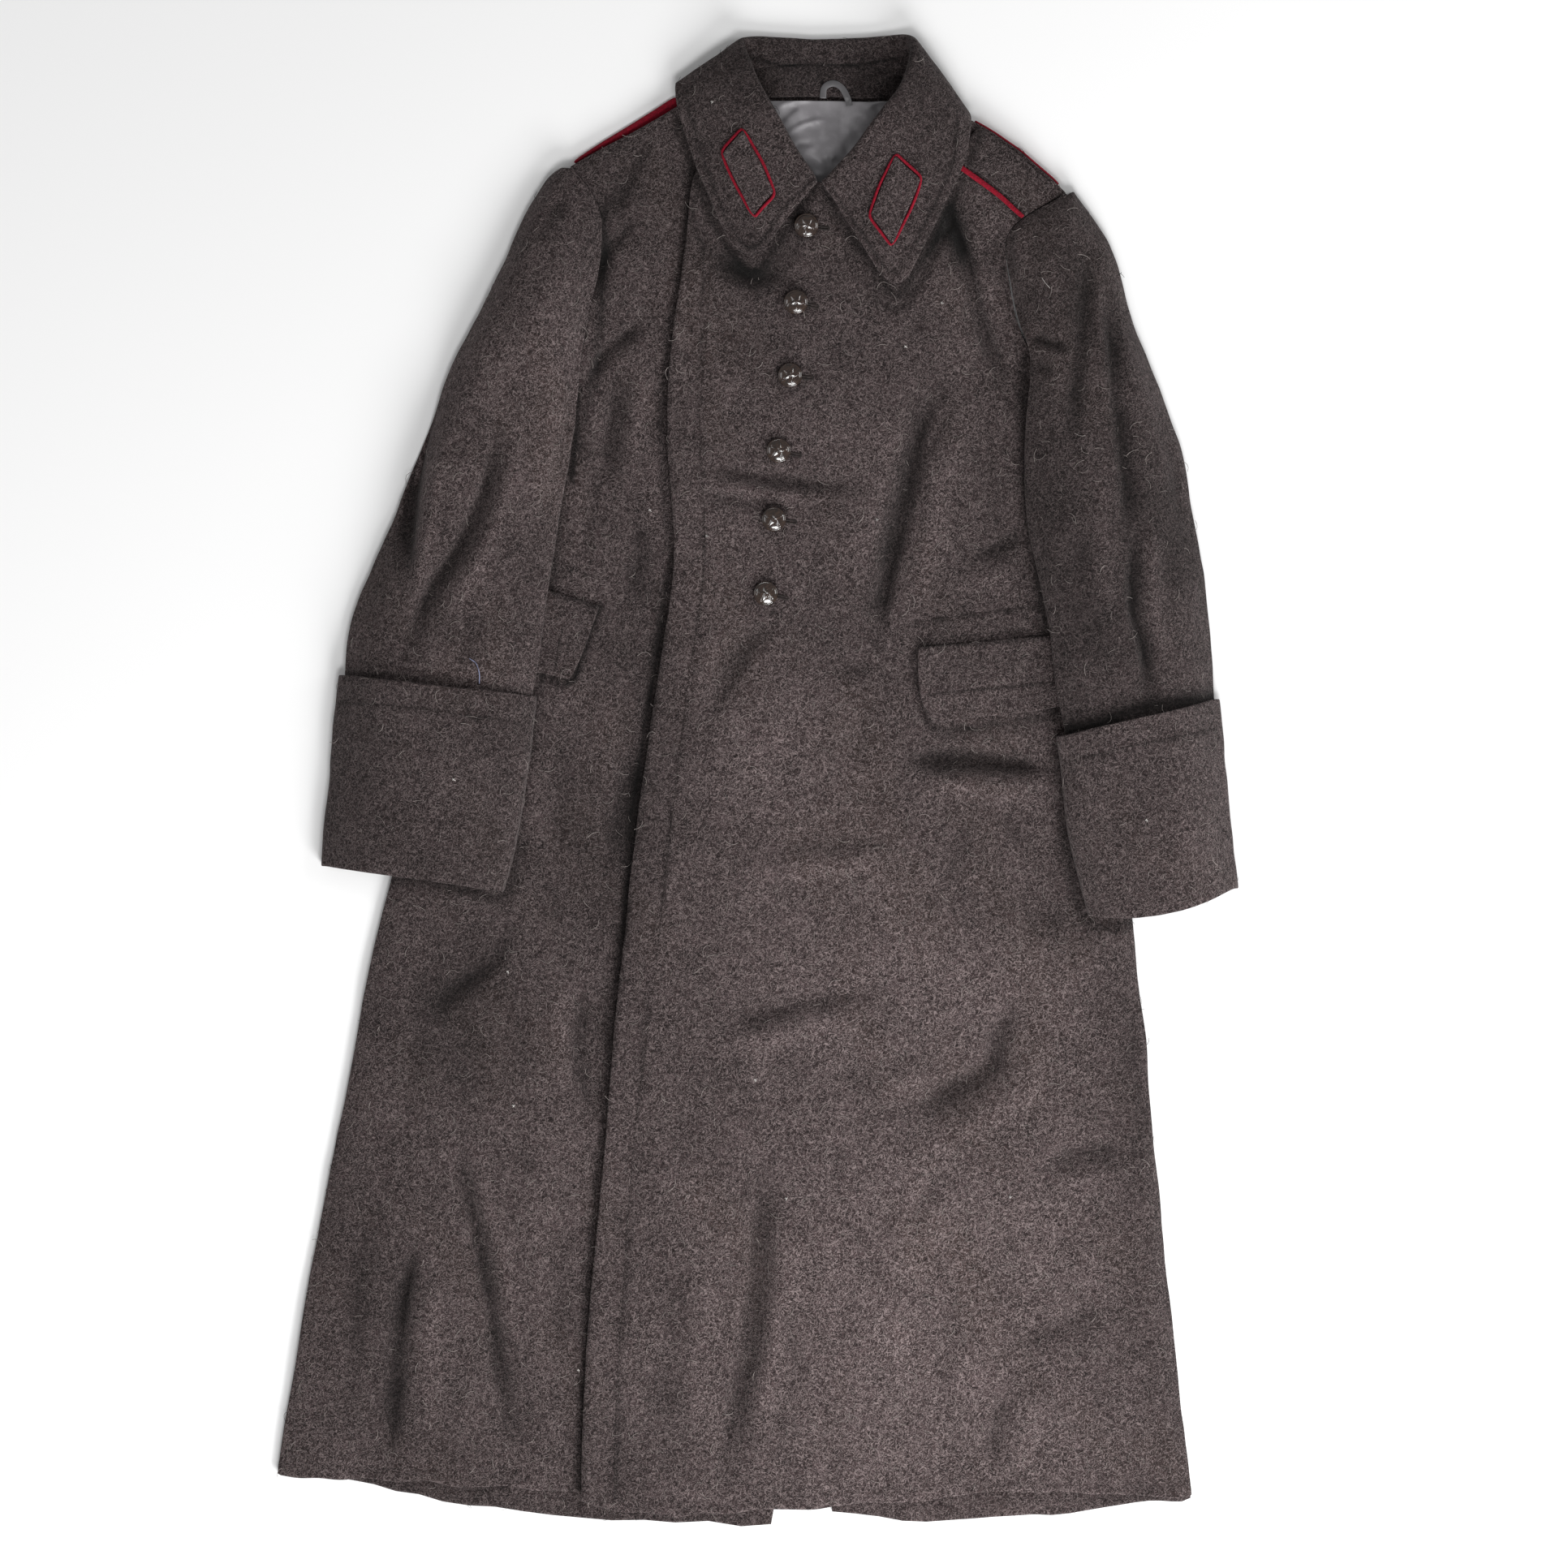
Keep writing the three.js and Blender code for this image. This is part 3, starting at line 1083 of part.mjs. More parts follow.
// Patches and their piping on the leaves
function patchLoop(corners, offset) {
  const middle = corners.reduce((sum, p) => ({ x: sum.x + p.x / 4, y: sum.y + p.y / 4 }), { x: 0, y: 0 });
  const path = [];
  corners.forEach((corner, i) => {
    const next = corners[(i + 1) % corners.length];
    for (const t of [0.06, 0.28, 0.5, 0.72, 0.94]) {
      const x = mix(corner.x, next.x, t);
      const y = mix(corner.y, next.y, t);
      const size = Math.hypot(x - middle.x, y - middle.y);
      const out = 1 + offset / size;
      path.push({ x: middle.x + (x - middle.x) * out, y: middle.y + (y - middle.y) * out, width: PIPING_WIDTH });
    }
  });
  return path;
}
function addTab(side, corners) {
  const [a, b, c, d] = corners;
  const grid = [];
  for (let i = 0; i <= 3; i += 1) {
    const line = [];
    for (let j = 0; j <= 5; j += 1) {
      const s = i / 3;
      const t = j / 5;
      const x = mix(mix(a.x, b.x, s), mix(d.x, c.x, s), t);
      const y = mix(mix(a.y, b.y, s), mix(d.y, c.y, s), t);
      line.push(new THREE.Vector3(x, y, leafTop(x, y) + SEAM_GAP * 2 + PATCH));
    }
    grid.push(line);
  }
  const ordered = side === 'right' ? grid.reverse() : grid;
  addPiece(`tab_${side}`, wall(ordered, PATCH), 'wool');
  const loop = patchLoop(corners, PIPING_WIDTH / 2 + SEAM_GAP * 6);
  if (side === 'right') loop.reverse();
  const level = (x, y) => leafTop(x, y) + SEAM_GAP * 2;
  addPiece(`tab_piping_${side}`, strip(loop, true, PIPING_HEIGHT, level), 'piping');
}
addTab('right', TAB_RIGHT);
addTab('left', TAB_LEFT);

// Shoulder boards
const boardGrid = panelGrid(BOARD_LEFT_ROWS, 6, 5, (t) => t, (x, y) => frontLeftTop(x, y) + SEAM_GAP * 2 + WOOL);
addPiece('board_left', wall(boardGrid, WOOL), 'wool');
const underBoardGrid = panelGrid(BOARD_RIGHT_ROWS, 4, 2, (t) => t, () => WOOL);
addPiece('board_right', wall(underBoardGrid.reverse(), WOOL, 0), 'wool');
const onBody = (x, y) => frontLeftTop(x, y) + SEAM_GAP * 2;
addPiece('board_left_inner_piping', strip(BOARD_INNER_PIPING, false, PIPING_HEIGHT, onBody), 'piping');
const shoulderPiping = [];
for (let k = 0; k <= 7; k += 1) {
  const u = mix(BOARD_SHOULDER_PIPING.from, BOARD_SHOULDER_PIPING.to, k / 7);
  const out = BOARD_SHOULDER_PIPING.width / 2 - SEAM_GAP;
  const dx = firstLeft.rx - firstLeft.lx;
  const dy = firstLeft.ry - firstLeft.ly;
  const size = Math.hypot(dx, dy);
  const x = firstLeft.lx + dx * u - (dy / size) * out;
  const y = firstLeft.ly + dy * u + shoulderBow(u) + (dx / size) * out;
  shoulderPiping.push({ x, y, width: BOARD_SHOULDER_PIPING.width });
}
addPiece(
  'board_left_shoulder_piping',
  strip(shoulderPiping, false, SHOULDER_PIPING_LEVEL, () => NECK_LIFT),
  'piping'
);
addPiece('board_right_piping', strip(BOARD_RIGHT_PIPING, false, SHOULDER_PIPING_LEVEL, () => 0), 'piping');

// Pocket flaps
const flapLift = (v) => SEAM_GAP * 2 + WOOL + FLAP_FLARE * v;
const flapLeftGrid = panelGrid(FLAP_LEFT_ROWS, 6, 8, (t) => t, (x, y, u, v) => frontLeftTop(x, y) + flapLift(v));
addPiece('flap_left', wall(flapLeftGrid, WOOL), 'wool');
const flapRightGrid = panelGrid(FLAP_RIGHT_ROWS, 6, 5, (t) => t, (x, y, u, v) => frontRightTop(x, y) + flapLift(v));
addPiece('flap_right', wall(flapRightGrid, WOOL), 'wool');

// Buttons: a low dome with a five-pointed star standing on it
function buttonShape() {
  const around = STAR_POINTS * 4;
  const positions = [];
  const rings = [];
  const addRing = (radiusAt, heightAt) => {
    const ring = [];
    for (let k = 0; k < around; k += 1) {
      const a = (k / around) * 2 * Math.PI;
      const radius = radiusAt(k);
      ring.push(positions.length / 3);
      positions.push(radius * Math.cos(a), radius * Math.sin(a), heightAt(radius));
    }
    rings.push(ring);
  };
  const dome = (radius) => BUTTON_RIM + BUTTON_DOME * Math.sqrt(Math.max(0, 1 - (radius / BUTTON_RADIUS) ** 2));
  const starPart = (k) => [STAR_TIP, STAR_FLANK, STAR_VALLEY, STAR_FLANK][k % 4] * BUTTON_RADIUS;
  addRing(() => BUTTON_RADIUS * 0.9, () => 0);
  addRing(() => BUTTON_RADIUS, () => BUTTON_RIM * 0.5);
  addRing(() => BUTTON_RADIUS * 0.97, (radius) => dome(radius));
  addRing((k) => starPart(k) + 0.5, (radius) => dome(radius));
  addRing((k) => starPart(k), (radius) => dome(radius) + STAR_RISE * 0.55);
  addRing((k) => starPart(k) * 0.45, (radius) => dome(radius) + STAR_RISE);
  const index = [];
  for (let i = 0; i + 1 < rings.length; i += 1) {
    for (let k = 0; k < around; k += 1) {
      const next = (k + 1) % around;
      index.push(rings[i][k], rings[i][next], rings[i + 1][next], rings[i][k], rings[i + 1][next], rings[i + 1][k]);
    }
  }
  const bottom = positions.length / 3;
  positions.push(0, 0, 0);
  const peak = positions.length / 3;
  positions.push(0, 0, dome(0) + STAR_RISE);
  const lastRing = rings[rings.length - 1];
  for (let k = 0; k < around; k += 1) {
    const next = (k + 1) % around;
    index.push(bottom, rings[0][next], rings[0][k]);
    index.push(peak, lastRing[k], lastRing[next]);
  }
  return geometry(positions, index);
}
BUTTON_PLACES.forEach(({ x, y, turn }, i) => {
  const reach = BUTTON_RADIUS * 0.8;
  const slopeX = (frontLeftTop(x + reach, y) - frontLeftTop(x - reach, y)) / (2 * reach);
  const slopeY = (frontLeftTop(x, y + reach) - frontLeftTop(x, y - reach)) / (2 * reach);
  const normal = new THREE.Vector3(-slopeX, -slopeY, 1).normalize();
  const shape = buttonShape();
  shape.rotateZ(THREE.MathUtils.degToRad(turn));
  shape.applyQuaternion(new THREE.Quaternion().setFromUnitVectors(new THREE.Vector3(0, 0, 1), normal));
  shape.translate(x, y, frontLeftTop(x, y) + BUTTON_CLEAR);
  addPiece(`button_${i + 1}`, shape, 'button', 0.3);
});

// Hanger loop
const loopPath = [];
for (let i = 0; i <= 15; i += 1) {
  const v = i / 15;
  loopPath.push({ x: column(LOOP_PLACES, 'x', v), y: column(LOOP_PLACES, 'y', v), width: LOOP_WIDTH });
}
const standFrom = COLLAR_STAND_ROWS[0].bottom + 1;
const loopLevel = (x, y) => Math.max(y > standFrom ? STAND_LEVEL + SEAM_GAP : 0, liningTop(x, y) + SEAM_GAP * 2);
addPiece('hanger_loop', strip(loopPath, false, LOOP_HEIGHT, loopLevel), 'satin');

// The origin is the middle of the coat's outline, on the surface it rests on
const bounds = new THREE.Box3().setFromObject(coat);
const middle = bounds.getCenter(new THREE.Vector3());
coat.position.set(-middle.x, -middle.y, -bounds.min.z);

export default coat;
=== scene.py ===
"""A heavy wool greatcoat laid on its back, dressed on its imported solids. Metres, +Y towards the collar."""

import math
from collections import namedtuple

import bmesh
import bpy
import numpy as np
from mathutils import Matrix, Vector
from mathutils.bvhtree import BVHTree


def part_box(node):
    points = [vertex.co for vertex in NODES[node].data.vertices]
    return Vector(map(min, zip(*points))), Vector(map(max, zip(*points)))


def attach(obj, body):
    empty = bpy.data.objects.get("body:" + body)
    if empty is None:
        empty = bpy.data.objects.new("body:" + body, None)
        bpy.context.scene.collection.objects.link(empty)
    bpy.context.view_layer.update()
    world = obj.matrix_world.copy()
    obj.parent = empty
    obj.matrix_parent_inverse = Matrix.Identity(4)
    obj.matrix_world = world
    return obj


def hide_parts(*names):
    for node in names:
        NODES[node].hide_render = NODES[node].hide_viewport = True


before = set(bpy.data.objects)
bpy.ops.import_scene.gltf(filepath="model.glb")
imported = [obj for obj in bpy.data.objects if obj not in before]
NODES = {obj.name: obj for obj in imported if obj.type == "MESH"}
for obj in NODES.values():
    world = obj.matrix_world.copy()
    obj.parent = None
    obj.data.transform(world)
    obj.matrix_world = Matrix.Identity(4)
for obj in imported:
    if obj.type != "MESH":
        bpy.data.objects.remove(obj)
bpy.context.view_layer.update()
MM = 0.001

# The photograph's frame: how many millimetres of coat one of its pixels covers, and the pixel
# that lies on the coat's origin
MM_PER_PIXEL = 0.7
ORIGIN_PIXEL_X = 933.5
ORIGIN_PIXEL_Y = 960.3
IMAGE_SIDE = 1932


def place(px, py):
    """A place read off the photograph, in metres."""
    scale = MM_PER_PIXEL * MM
    return (px - ORIGIN_PIXEL_X) * scale, (ORIGIN_PIXEL_Y - py) * scale


# Creases and soft folds. Each runs through a few places of the photograph. Steep and soft are its half
# widths in millimetres on its right and left sides as it runs, before FOLD_WIDTH narrows them. Rise is in
# millimetres, before FOLD_GAIN, and is negative in a trough.
Fold = namedtuple("Fold", "through steep soft rise")

BODY_FOLDS = [
    Fold([(1182, 462), (1150, 500), (1130, 560), (1102, 680), (1076, 815)], 17, 5, -4.4),
    Fold([(1206, 470), (1172, 560), (1150, 660), (1118, 790)], 16, 15, 2.0),
    Fold([(1112, 470), (1082, 600), (1048, 740)], 20, 20, 1.2),
    Fold([(1076, 815), (1050, 824), (1026, 820)], 6, 9, -1.6),
    Fold([(1070, 855), (1052, 945)], 5, 8, -1.0),
    Fold([(1100, 930), (1150, 937), (1230, 941), (1310, 947)], 7, 10, -5.2),
    Fold([(1112, 962), (1210, 972), (1300, 978)], 10, 12, 2.2),
    Fold([(1160, 232), (1186, 300), (1212, 400), (1246, 500)], 12, 6, -2.8),
    Fold([(1204, 290), (1252, 372)], 8, 10, -1.4),
    Fold([(1266, 648), (1240, 668), (1190, 690)], 7, 9, -2.4),
    Fold([(1252, 700), (1200, 716), (1160, 716)], 8, 12, 1.2),
    Fold([(846, 572), (930, 589), (1000, 598), (1092, 606)], 5, 9, -2.4),
    Fold([(858, 610), (920, 620), (975, 630)], 4, 7, -1.5),
    Fold([(850, 596), (930, 606), (1010, 614)], 6, 6, 1.4),
    Fold([(962, 756), (920, 800), (890, 850), (868, 896)], 14, 10, -2.6),
    Fold([(905, 760), (872, 812), (850, 880)], 12, 14, 1.4),
    Fold([(948, 1040), (1040, 1041), (1112, 1034)], 7, 12, -1.8),
    Fold([(880, 1078), (980, 1074), (1090, 1066)], 11, 14, 1.8),
    Fold([(826, 1180), (858, 1176), (888, 1161)], 4, 7, -1.6),
    Fold([(876, 1266), (950, 1250), (1020, 1233), (1100, 1224)], 5, 12, -2.6),
    Fold([(860, 1290), (960, 1274), (1080, 1252)], 13, 11, 1.9),
    Fold([(1262, 1218), (1230, 1268), (1218, 1312), (1170, 1342), (1118, 1372)], 8, 13, -3.8),
    Fold([(1150, 1310), (1106, 1338), (1070, 1350)], 12, 14, 1.6),
    Fold([(1290, 1320), (1236, 1366), (1170, 1396)], 15, 12, 1.8),
    Fold([(1286, 1446), (1312, 1422), (1384, 1408)], 12, 6, -2.8),
    Fold([(1300, 1470), (1350, 1452), (1392, 1446)], 12, 10, 1.4),
    Fold([(1166, 1424), (1146, 1466), (1126, 1506)], 8, 11, -1.8),
    Fold([(1032, 1404), (1027, 1466)], 6, 8, -1.5),
    Fold([(1018, 1306), (1092, 1338)], 15, 15, -1.3),
    Fold([(940, 1396), (935, 1520), (928, 1600), (908, 1730), (872, 1852)], 9, 15, -3.6),
    Fold([(966, 1470), (968, 1560), (946, 1680), (930, 1800)], 13, 12, 2.0),
    Fold([(955, 1596), (970, 1656), (982, 1706)], 4, 8, -1.8),
    Fold([(832, 1500), (826, 1640), (806, 1800)], 12, 15, -1.4),
    Fold([(880, 1560), (866, 1680), (842, 1800)], 12, 12, 1.2),
    Fold([(1240, 1664), (1290, 1642), (1372, 1610)], 5, 9, -2.0),
    Fold([(1252, 1694), (1228, 1748), (1220, 1812)], 6, 9, -2.4),
    Fold([(1282, 1706), (1262, 1770), (1256, 1826)], 11, 11, 1.5),
    Fold([(1094, 1676), (1058, 1704)], 6, 9, -1.4),
    Fold([(1008, 1738), (1032, 1838)], 5, 8, -1.1),
    Fold([(1206, 986), (1180, 1040), (1158, 1096)], 8, 9, -1.4),
    Fold([(1228, 996), (1262, 1044)], 5, 8, -1.3),
    Fold([(1322, 1120), (1290, 1136), (1252, 1128)], 14, 14, -1.6),
    Fold([(1180, 1168), (1120, 1176), (1040, 1180)], 11, 14, 1.0),
    Fold([(560, 1352), (566, 1440), (590, 1540), (612, 1690), (642, 1826)], 4, 11, -2.9),
    Fold([(582, 1360), (592, 1450), (622, 1560), (646, 1700)], 11, 9, 1.5),
    Fold([(524, 1500), (508, 1560), (498, 1620), (490, 1710), (484, 1816)], 13, 4, -4.0),
    Fold([(548, 1540), (530, 1640), (524, 1780)], 12, 11, 1.8),
    Fold([(628, 1394), (656, 1446)], 4, 7, -1.4),
    Fold([(600, 1598), (650, 1662)], 6, 6, 1.1),
    Fold([(622, 1108), (612, 1180), (548, 1232), (524, 1272)], 12, 9, -2.4),
    Fold([(738, 1210), (715, 1256), (714, 1310), (734, 1390)], 6, 10, -2.6),
    Fold([(700, 1190), (688, 1270), (690, 1350)], 12, 10, 1.5),
    Fold([(792, 630), (786, 690), (772, 746)], 8, 12, -2.2),
    Fold([(790, 262), (758, 296), (736, 340), (728, 380)], 10, 6, -2.0),
    Fold([(800, 158), (768, 232), (744, 268)], 13, 9, -2.0),
    Fold([(794, 382), (770, 412), (744, 436), (726, 480)], 5, 9, -3.2),
    Fold([(768, 444), (754, 520), (746, 604)], 9, 12, -2.6),
    Fold([(792, 440), (784, 520), (772, 610)], 11, 9, 1.6),
    Fold([(812, 520), (806, 600), (800, 680)], 8, 8, 1.0),
    Fold([(764, 820), (748, 900), (742, 980)], 12, 14, 1.2),
    Fold([(784, 900), (770, 980), (752, 1080)], 12, 8, -2.0),
    Fold([(860, 318), (930, 344), (978, 336)], 10, 14, -1.4),
    Fold([(1138, 372), (1120, 420)], 10, 12, -1.0),
    Fold([(1330, 1560), (1350, 1700), (1380, 1800)], 16, 14, -1.0),
    Fold([(1176, 486), (1150, 540), (1134, 580), (1108, 680), (1086, 760)], 3, 4, -1.7),
    Fold([(1110, 944), (1200, 946), (1300, 951)], 3, 4, -1.4),
    Fold([(1240, 1300), (1206, 1326), (1150, 1356)], 4, 4, -1.1),
    Fold([(936, 1440), (934, 1540), (920, 1660), (896, 1780)], 4, 5, -1.2),
    Fold([(512, 1540), (498, 1650), (486, 1790)], 4, 4, -1.5),
    Fold([(572, 1440), (600, 1580), (628, 1740)], 3, 4, -1.1),
    Fold([(1150, 905), (1210, 898), (1304, 886)], 4, 3, -1.3),
    Fold([(840, 236), (866, 290), (900, 330), (934, 346), (966, 314), (996, 268)], 8, 4, -1.5),
    Fold([(1030, 300), (1062, 344), (1098, 380), (1124, 362), (1162, 292), (1196, 222)], 4, 8, -1.4),
    Fold([(1166, 236), (1170, 268), (1192, 318)], 10, 12, -0.9),
    Fold([(760, 1130), (742, 1250), (738, 1380)], 5, 8, -1.2),
    Fold([(1064, 1516), (1046, 1600), (1040, 1690)], 10, 14, -1.0),
    Fold([(1130, 1500), (1108, 1600), (1112, 1700)], 14, 12, 0.9),
    Fold([(1180, 1560), (1160, 1660), (1166, 1760)], 9, 12, -1.1),
    Fold([(1390, 1200), (1400, 1320), (1412, 1440)], 12, 8, -1.2),
    Fold([(1210, 1090), (1150, 1110), (1090, 1096)], 10, 12, -1.0),
    Fold([(700, 1420), (690, 1560), (694, 1700)], 9, 12, -1.2),
    Fold([(660, 1460), (660, 1600), (672, 1740)], 11, 9, 0.9),
    Fold([(450, 1480), (436, 1620), (428, 1760)], 10, 12, -1.3),
    Fold([(640, 1200), (636, 1300), (640, 1400)], 10, 12, -1.0),
    Fold([(520, 1240), (508, 1330), (512, 1400)], 10, 12, -1.0),
    Fold([(846, 700), (840, 800), (832, 900)], 8, 8, 0.8),
    Fold([(1010, 660), (1004, 740), (1012, 830)], 12, 12, -0.8),
    Fold([(1180, 560), (1200, 620), (1190, 680)], 12, 12, 0.8),
    Fold([(888, 520), (880, 560), (886, 640)], 8, 10, -0.8),
    Fold([(736, 560), (726, 640), (720, 700)], 8, 8, -1.2),
    Fold([(700, 880), (690, 980), (688, 1080)], 9, 11, -1.2),
]

RIGHT_SLEEVE_FOLDS = [
    Fold([(618, 492), (598, 596), (562, 680), (528, 730), (490, 832)], 5, 13, -3.4),
    Fold([(640, 520), (622, 620), (584, 700), (546, 780)], 13, 9, 1.8),
    Fold([(548, 478), (524, 552), (513, 620), (505, 716)], 16, 3, -6.5),
    Fold([(564, 500), (540, 580), (528, 660), (512, 760)], 10, 8, 2.0),
    Fold([(742, 330), (728, 400), (712, 470), (700, 560)], 7, 8, -1.8),
    Fold([(690, 470), (676, 560), (668, 640)], 12, 10, 1.2),
    Fold([(680, 300), (640, 380), (610, 440)], 13, 16, -1.4),
    Fold([(692, 600), (684, 700), (668, 800)], 7, 9, -1.4),
    Fold([(600, 740), (576, 790), (560, 828)], 9, 12, -1.0),
    Fold([(706, 236), (676, 262), (650, 300)], 9, 12, -1.3),
]

LEFT_SLEEVE_FOLDS = [
    Fold([(1344, 284), (1336, 380), (1326, 470), (1320, 560)], 10, 9, -2.4),
    Fold([(1362, 330), (1370, 470), (1382, 570), (1391, 700)], 6, 11, -2.6),
    Fold([(1396, 640), (1391, 742), (1406, 800), (1414, 874)], 5, 10, -3.2),
    Fold([(1420, 620), (1418, 730), (1434, 820)], 11, 10, 1.6),
    Fold([(1352, 560), (1356, 660), (1362, 780)], 13, 12, 1.3),
    Fold([(1264, 414), (1290, 424), (1318, 434)], 4, 7, -2.4),
    Fold([(1270, 446), (1296, 462)], 4, 6, -1.4),
    Fold([(1330, 640), (1332, 730)], 9, 12, -1.3),
    Fold([(1286, 300), (1300, 360), (1296, 400)], 12, 10, 1.0),
    Fold([(1430, 480), (1446, 560), (1452, 640)], 8, 12, -1.2),
    Fold([(1270, 258), (1254, 300), (1262, 360)], 6, 9, 1.2),
]

CUFF_FOLDS = [
    Fold([(440, 890), (438, 980), (430, 1060)], 14, 16, -0.8),
    Fold([(620, 900), (606, 1000), (600, 1080)], 10, 16, -1.0),
    Fold([(520, 880), (528, 970), (520, 1070)], 22, 22, 0.7),
    Fold([(1360, 920), (1374, 1010), (1392, 1110)], 12, 18, -0.9),
    Fold([(1450, 890), (1462, 1000), (1478, 1090)], 20, 16, 0.7),
]

LINING_FOLDS = [
    Fold([(952, 134), (978, 124), (1006, 122)], 3, 3, 1.4),
    Fold([(964, 168), (990, 152), (1020, 146)], 3, 2, 1.3),
    Fold([(1040, 132), (1036, 150), (1030, 168)], 1.4, 1.4, -1.2),
    Fold([(1060, 132), (1078, 126), (1096, 124)], 3, 2, 1.2),
    Fold([(986, 190), (1004, 198), (1018, 210)], 2, 3, -1.4),
    Fold([(1030, 186), (1024, 196), (1026, 206)], 2, 2, 1.3),
    Fold([(1052, 170), (1044, 180), (1042, 192)], 2, 3, -1.5),
    Fold([(958, 156), (972, 138), (986, 130)], 2, 5, -1.6),
    Fold([(979, 178), (992, 177), (1006, 176)], 2, 4, -1.6),
    Fold([(1046, 160), (1056, 148), (1068, 142)], 3, 4, -1.8),
    Fold([(1038, 184), (1050, 170), (1062, 160)], 3, 5, -1.8),
    Fold([(1012, 192), (1030, 200), (1046, 196)], 3, 4, -1.5),
    Fold([(1000, 140), (1012, 156), (1012, 172)], 4, 5, 1.0),
    Fold([(1076, 124), (1084, 142), (1074, 158)], 3, 4, -1.2),
]

# Lighter and darker areas, partly nap tone and partly painted light and shade: painted light on the
# lower skirt, painted shade beside the collar leaves and in the neck. Place, half widths in pixels and
# how much lighter
Patch = namedtuple("Patch", "x y wide high lighter")
NAP_AND_LIGHT_PATCHES = [
    Patch(1130, 1600, 250, 300, 0.22),
    Patch(1060, 1150, 220, 160, 0.12),
    Patch(940, 920, 90, 110, 0.14),
    Patch(880, 660, 60, 60, 0.08),
    Patch(1250, 1220, 120, 120, 0.06),
    Patch(740, 1050, 70, 160, -0.12),
    Patch(450, 1660, 60, 260, -0.12),
    Patch(560, 1250, 70, 90, -0.12),
    Patch(930, 330, 120, 90, -0.12),
    Patch(1290, 1130, 70, 60, -0.10),
    Patch(1420, 1500, 50, 330, -0.10),
    Patch(1150, 1360, 70, 40, -0.08),
    Patch(1030, 80, 160, 60, -0.14),
    Patch(620, 430, 130, 130, 0.12),
    Patch(1150, 160, 50, 90, -0.06),
    Patch(430, 1640, 60, 220, 0.07),
    Patch(1010, 480, 140, 120, 0.02),
    Patch(740, 300, 70, 120, -0.10),
    Patch(1172, 276, 34, 70, -0.10),
    Patch(1220, 640, 60, 120, -0.08),
    Patch(1130, 470, 60, 60, -0.05),
    Patch(930, 345, 60, 30, -0.06),
    Patch(1110, 370, 40, 20, -0.10),
    Patch(790, 720, 60, 180, -0.08),
]
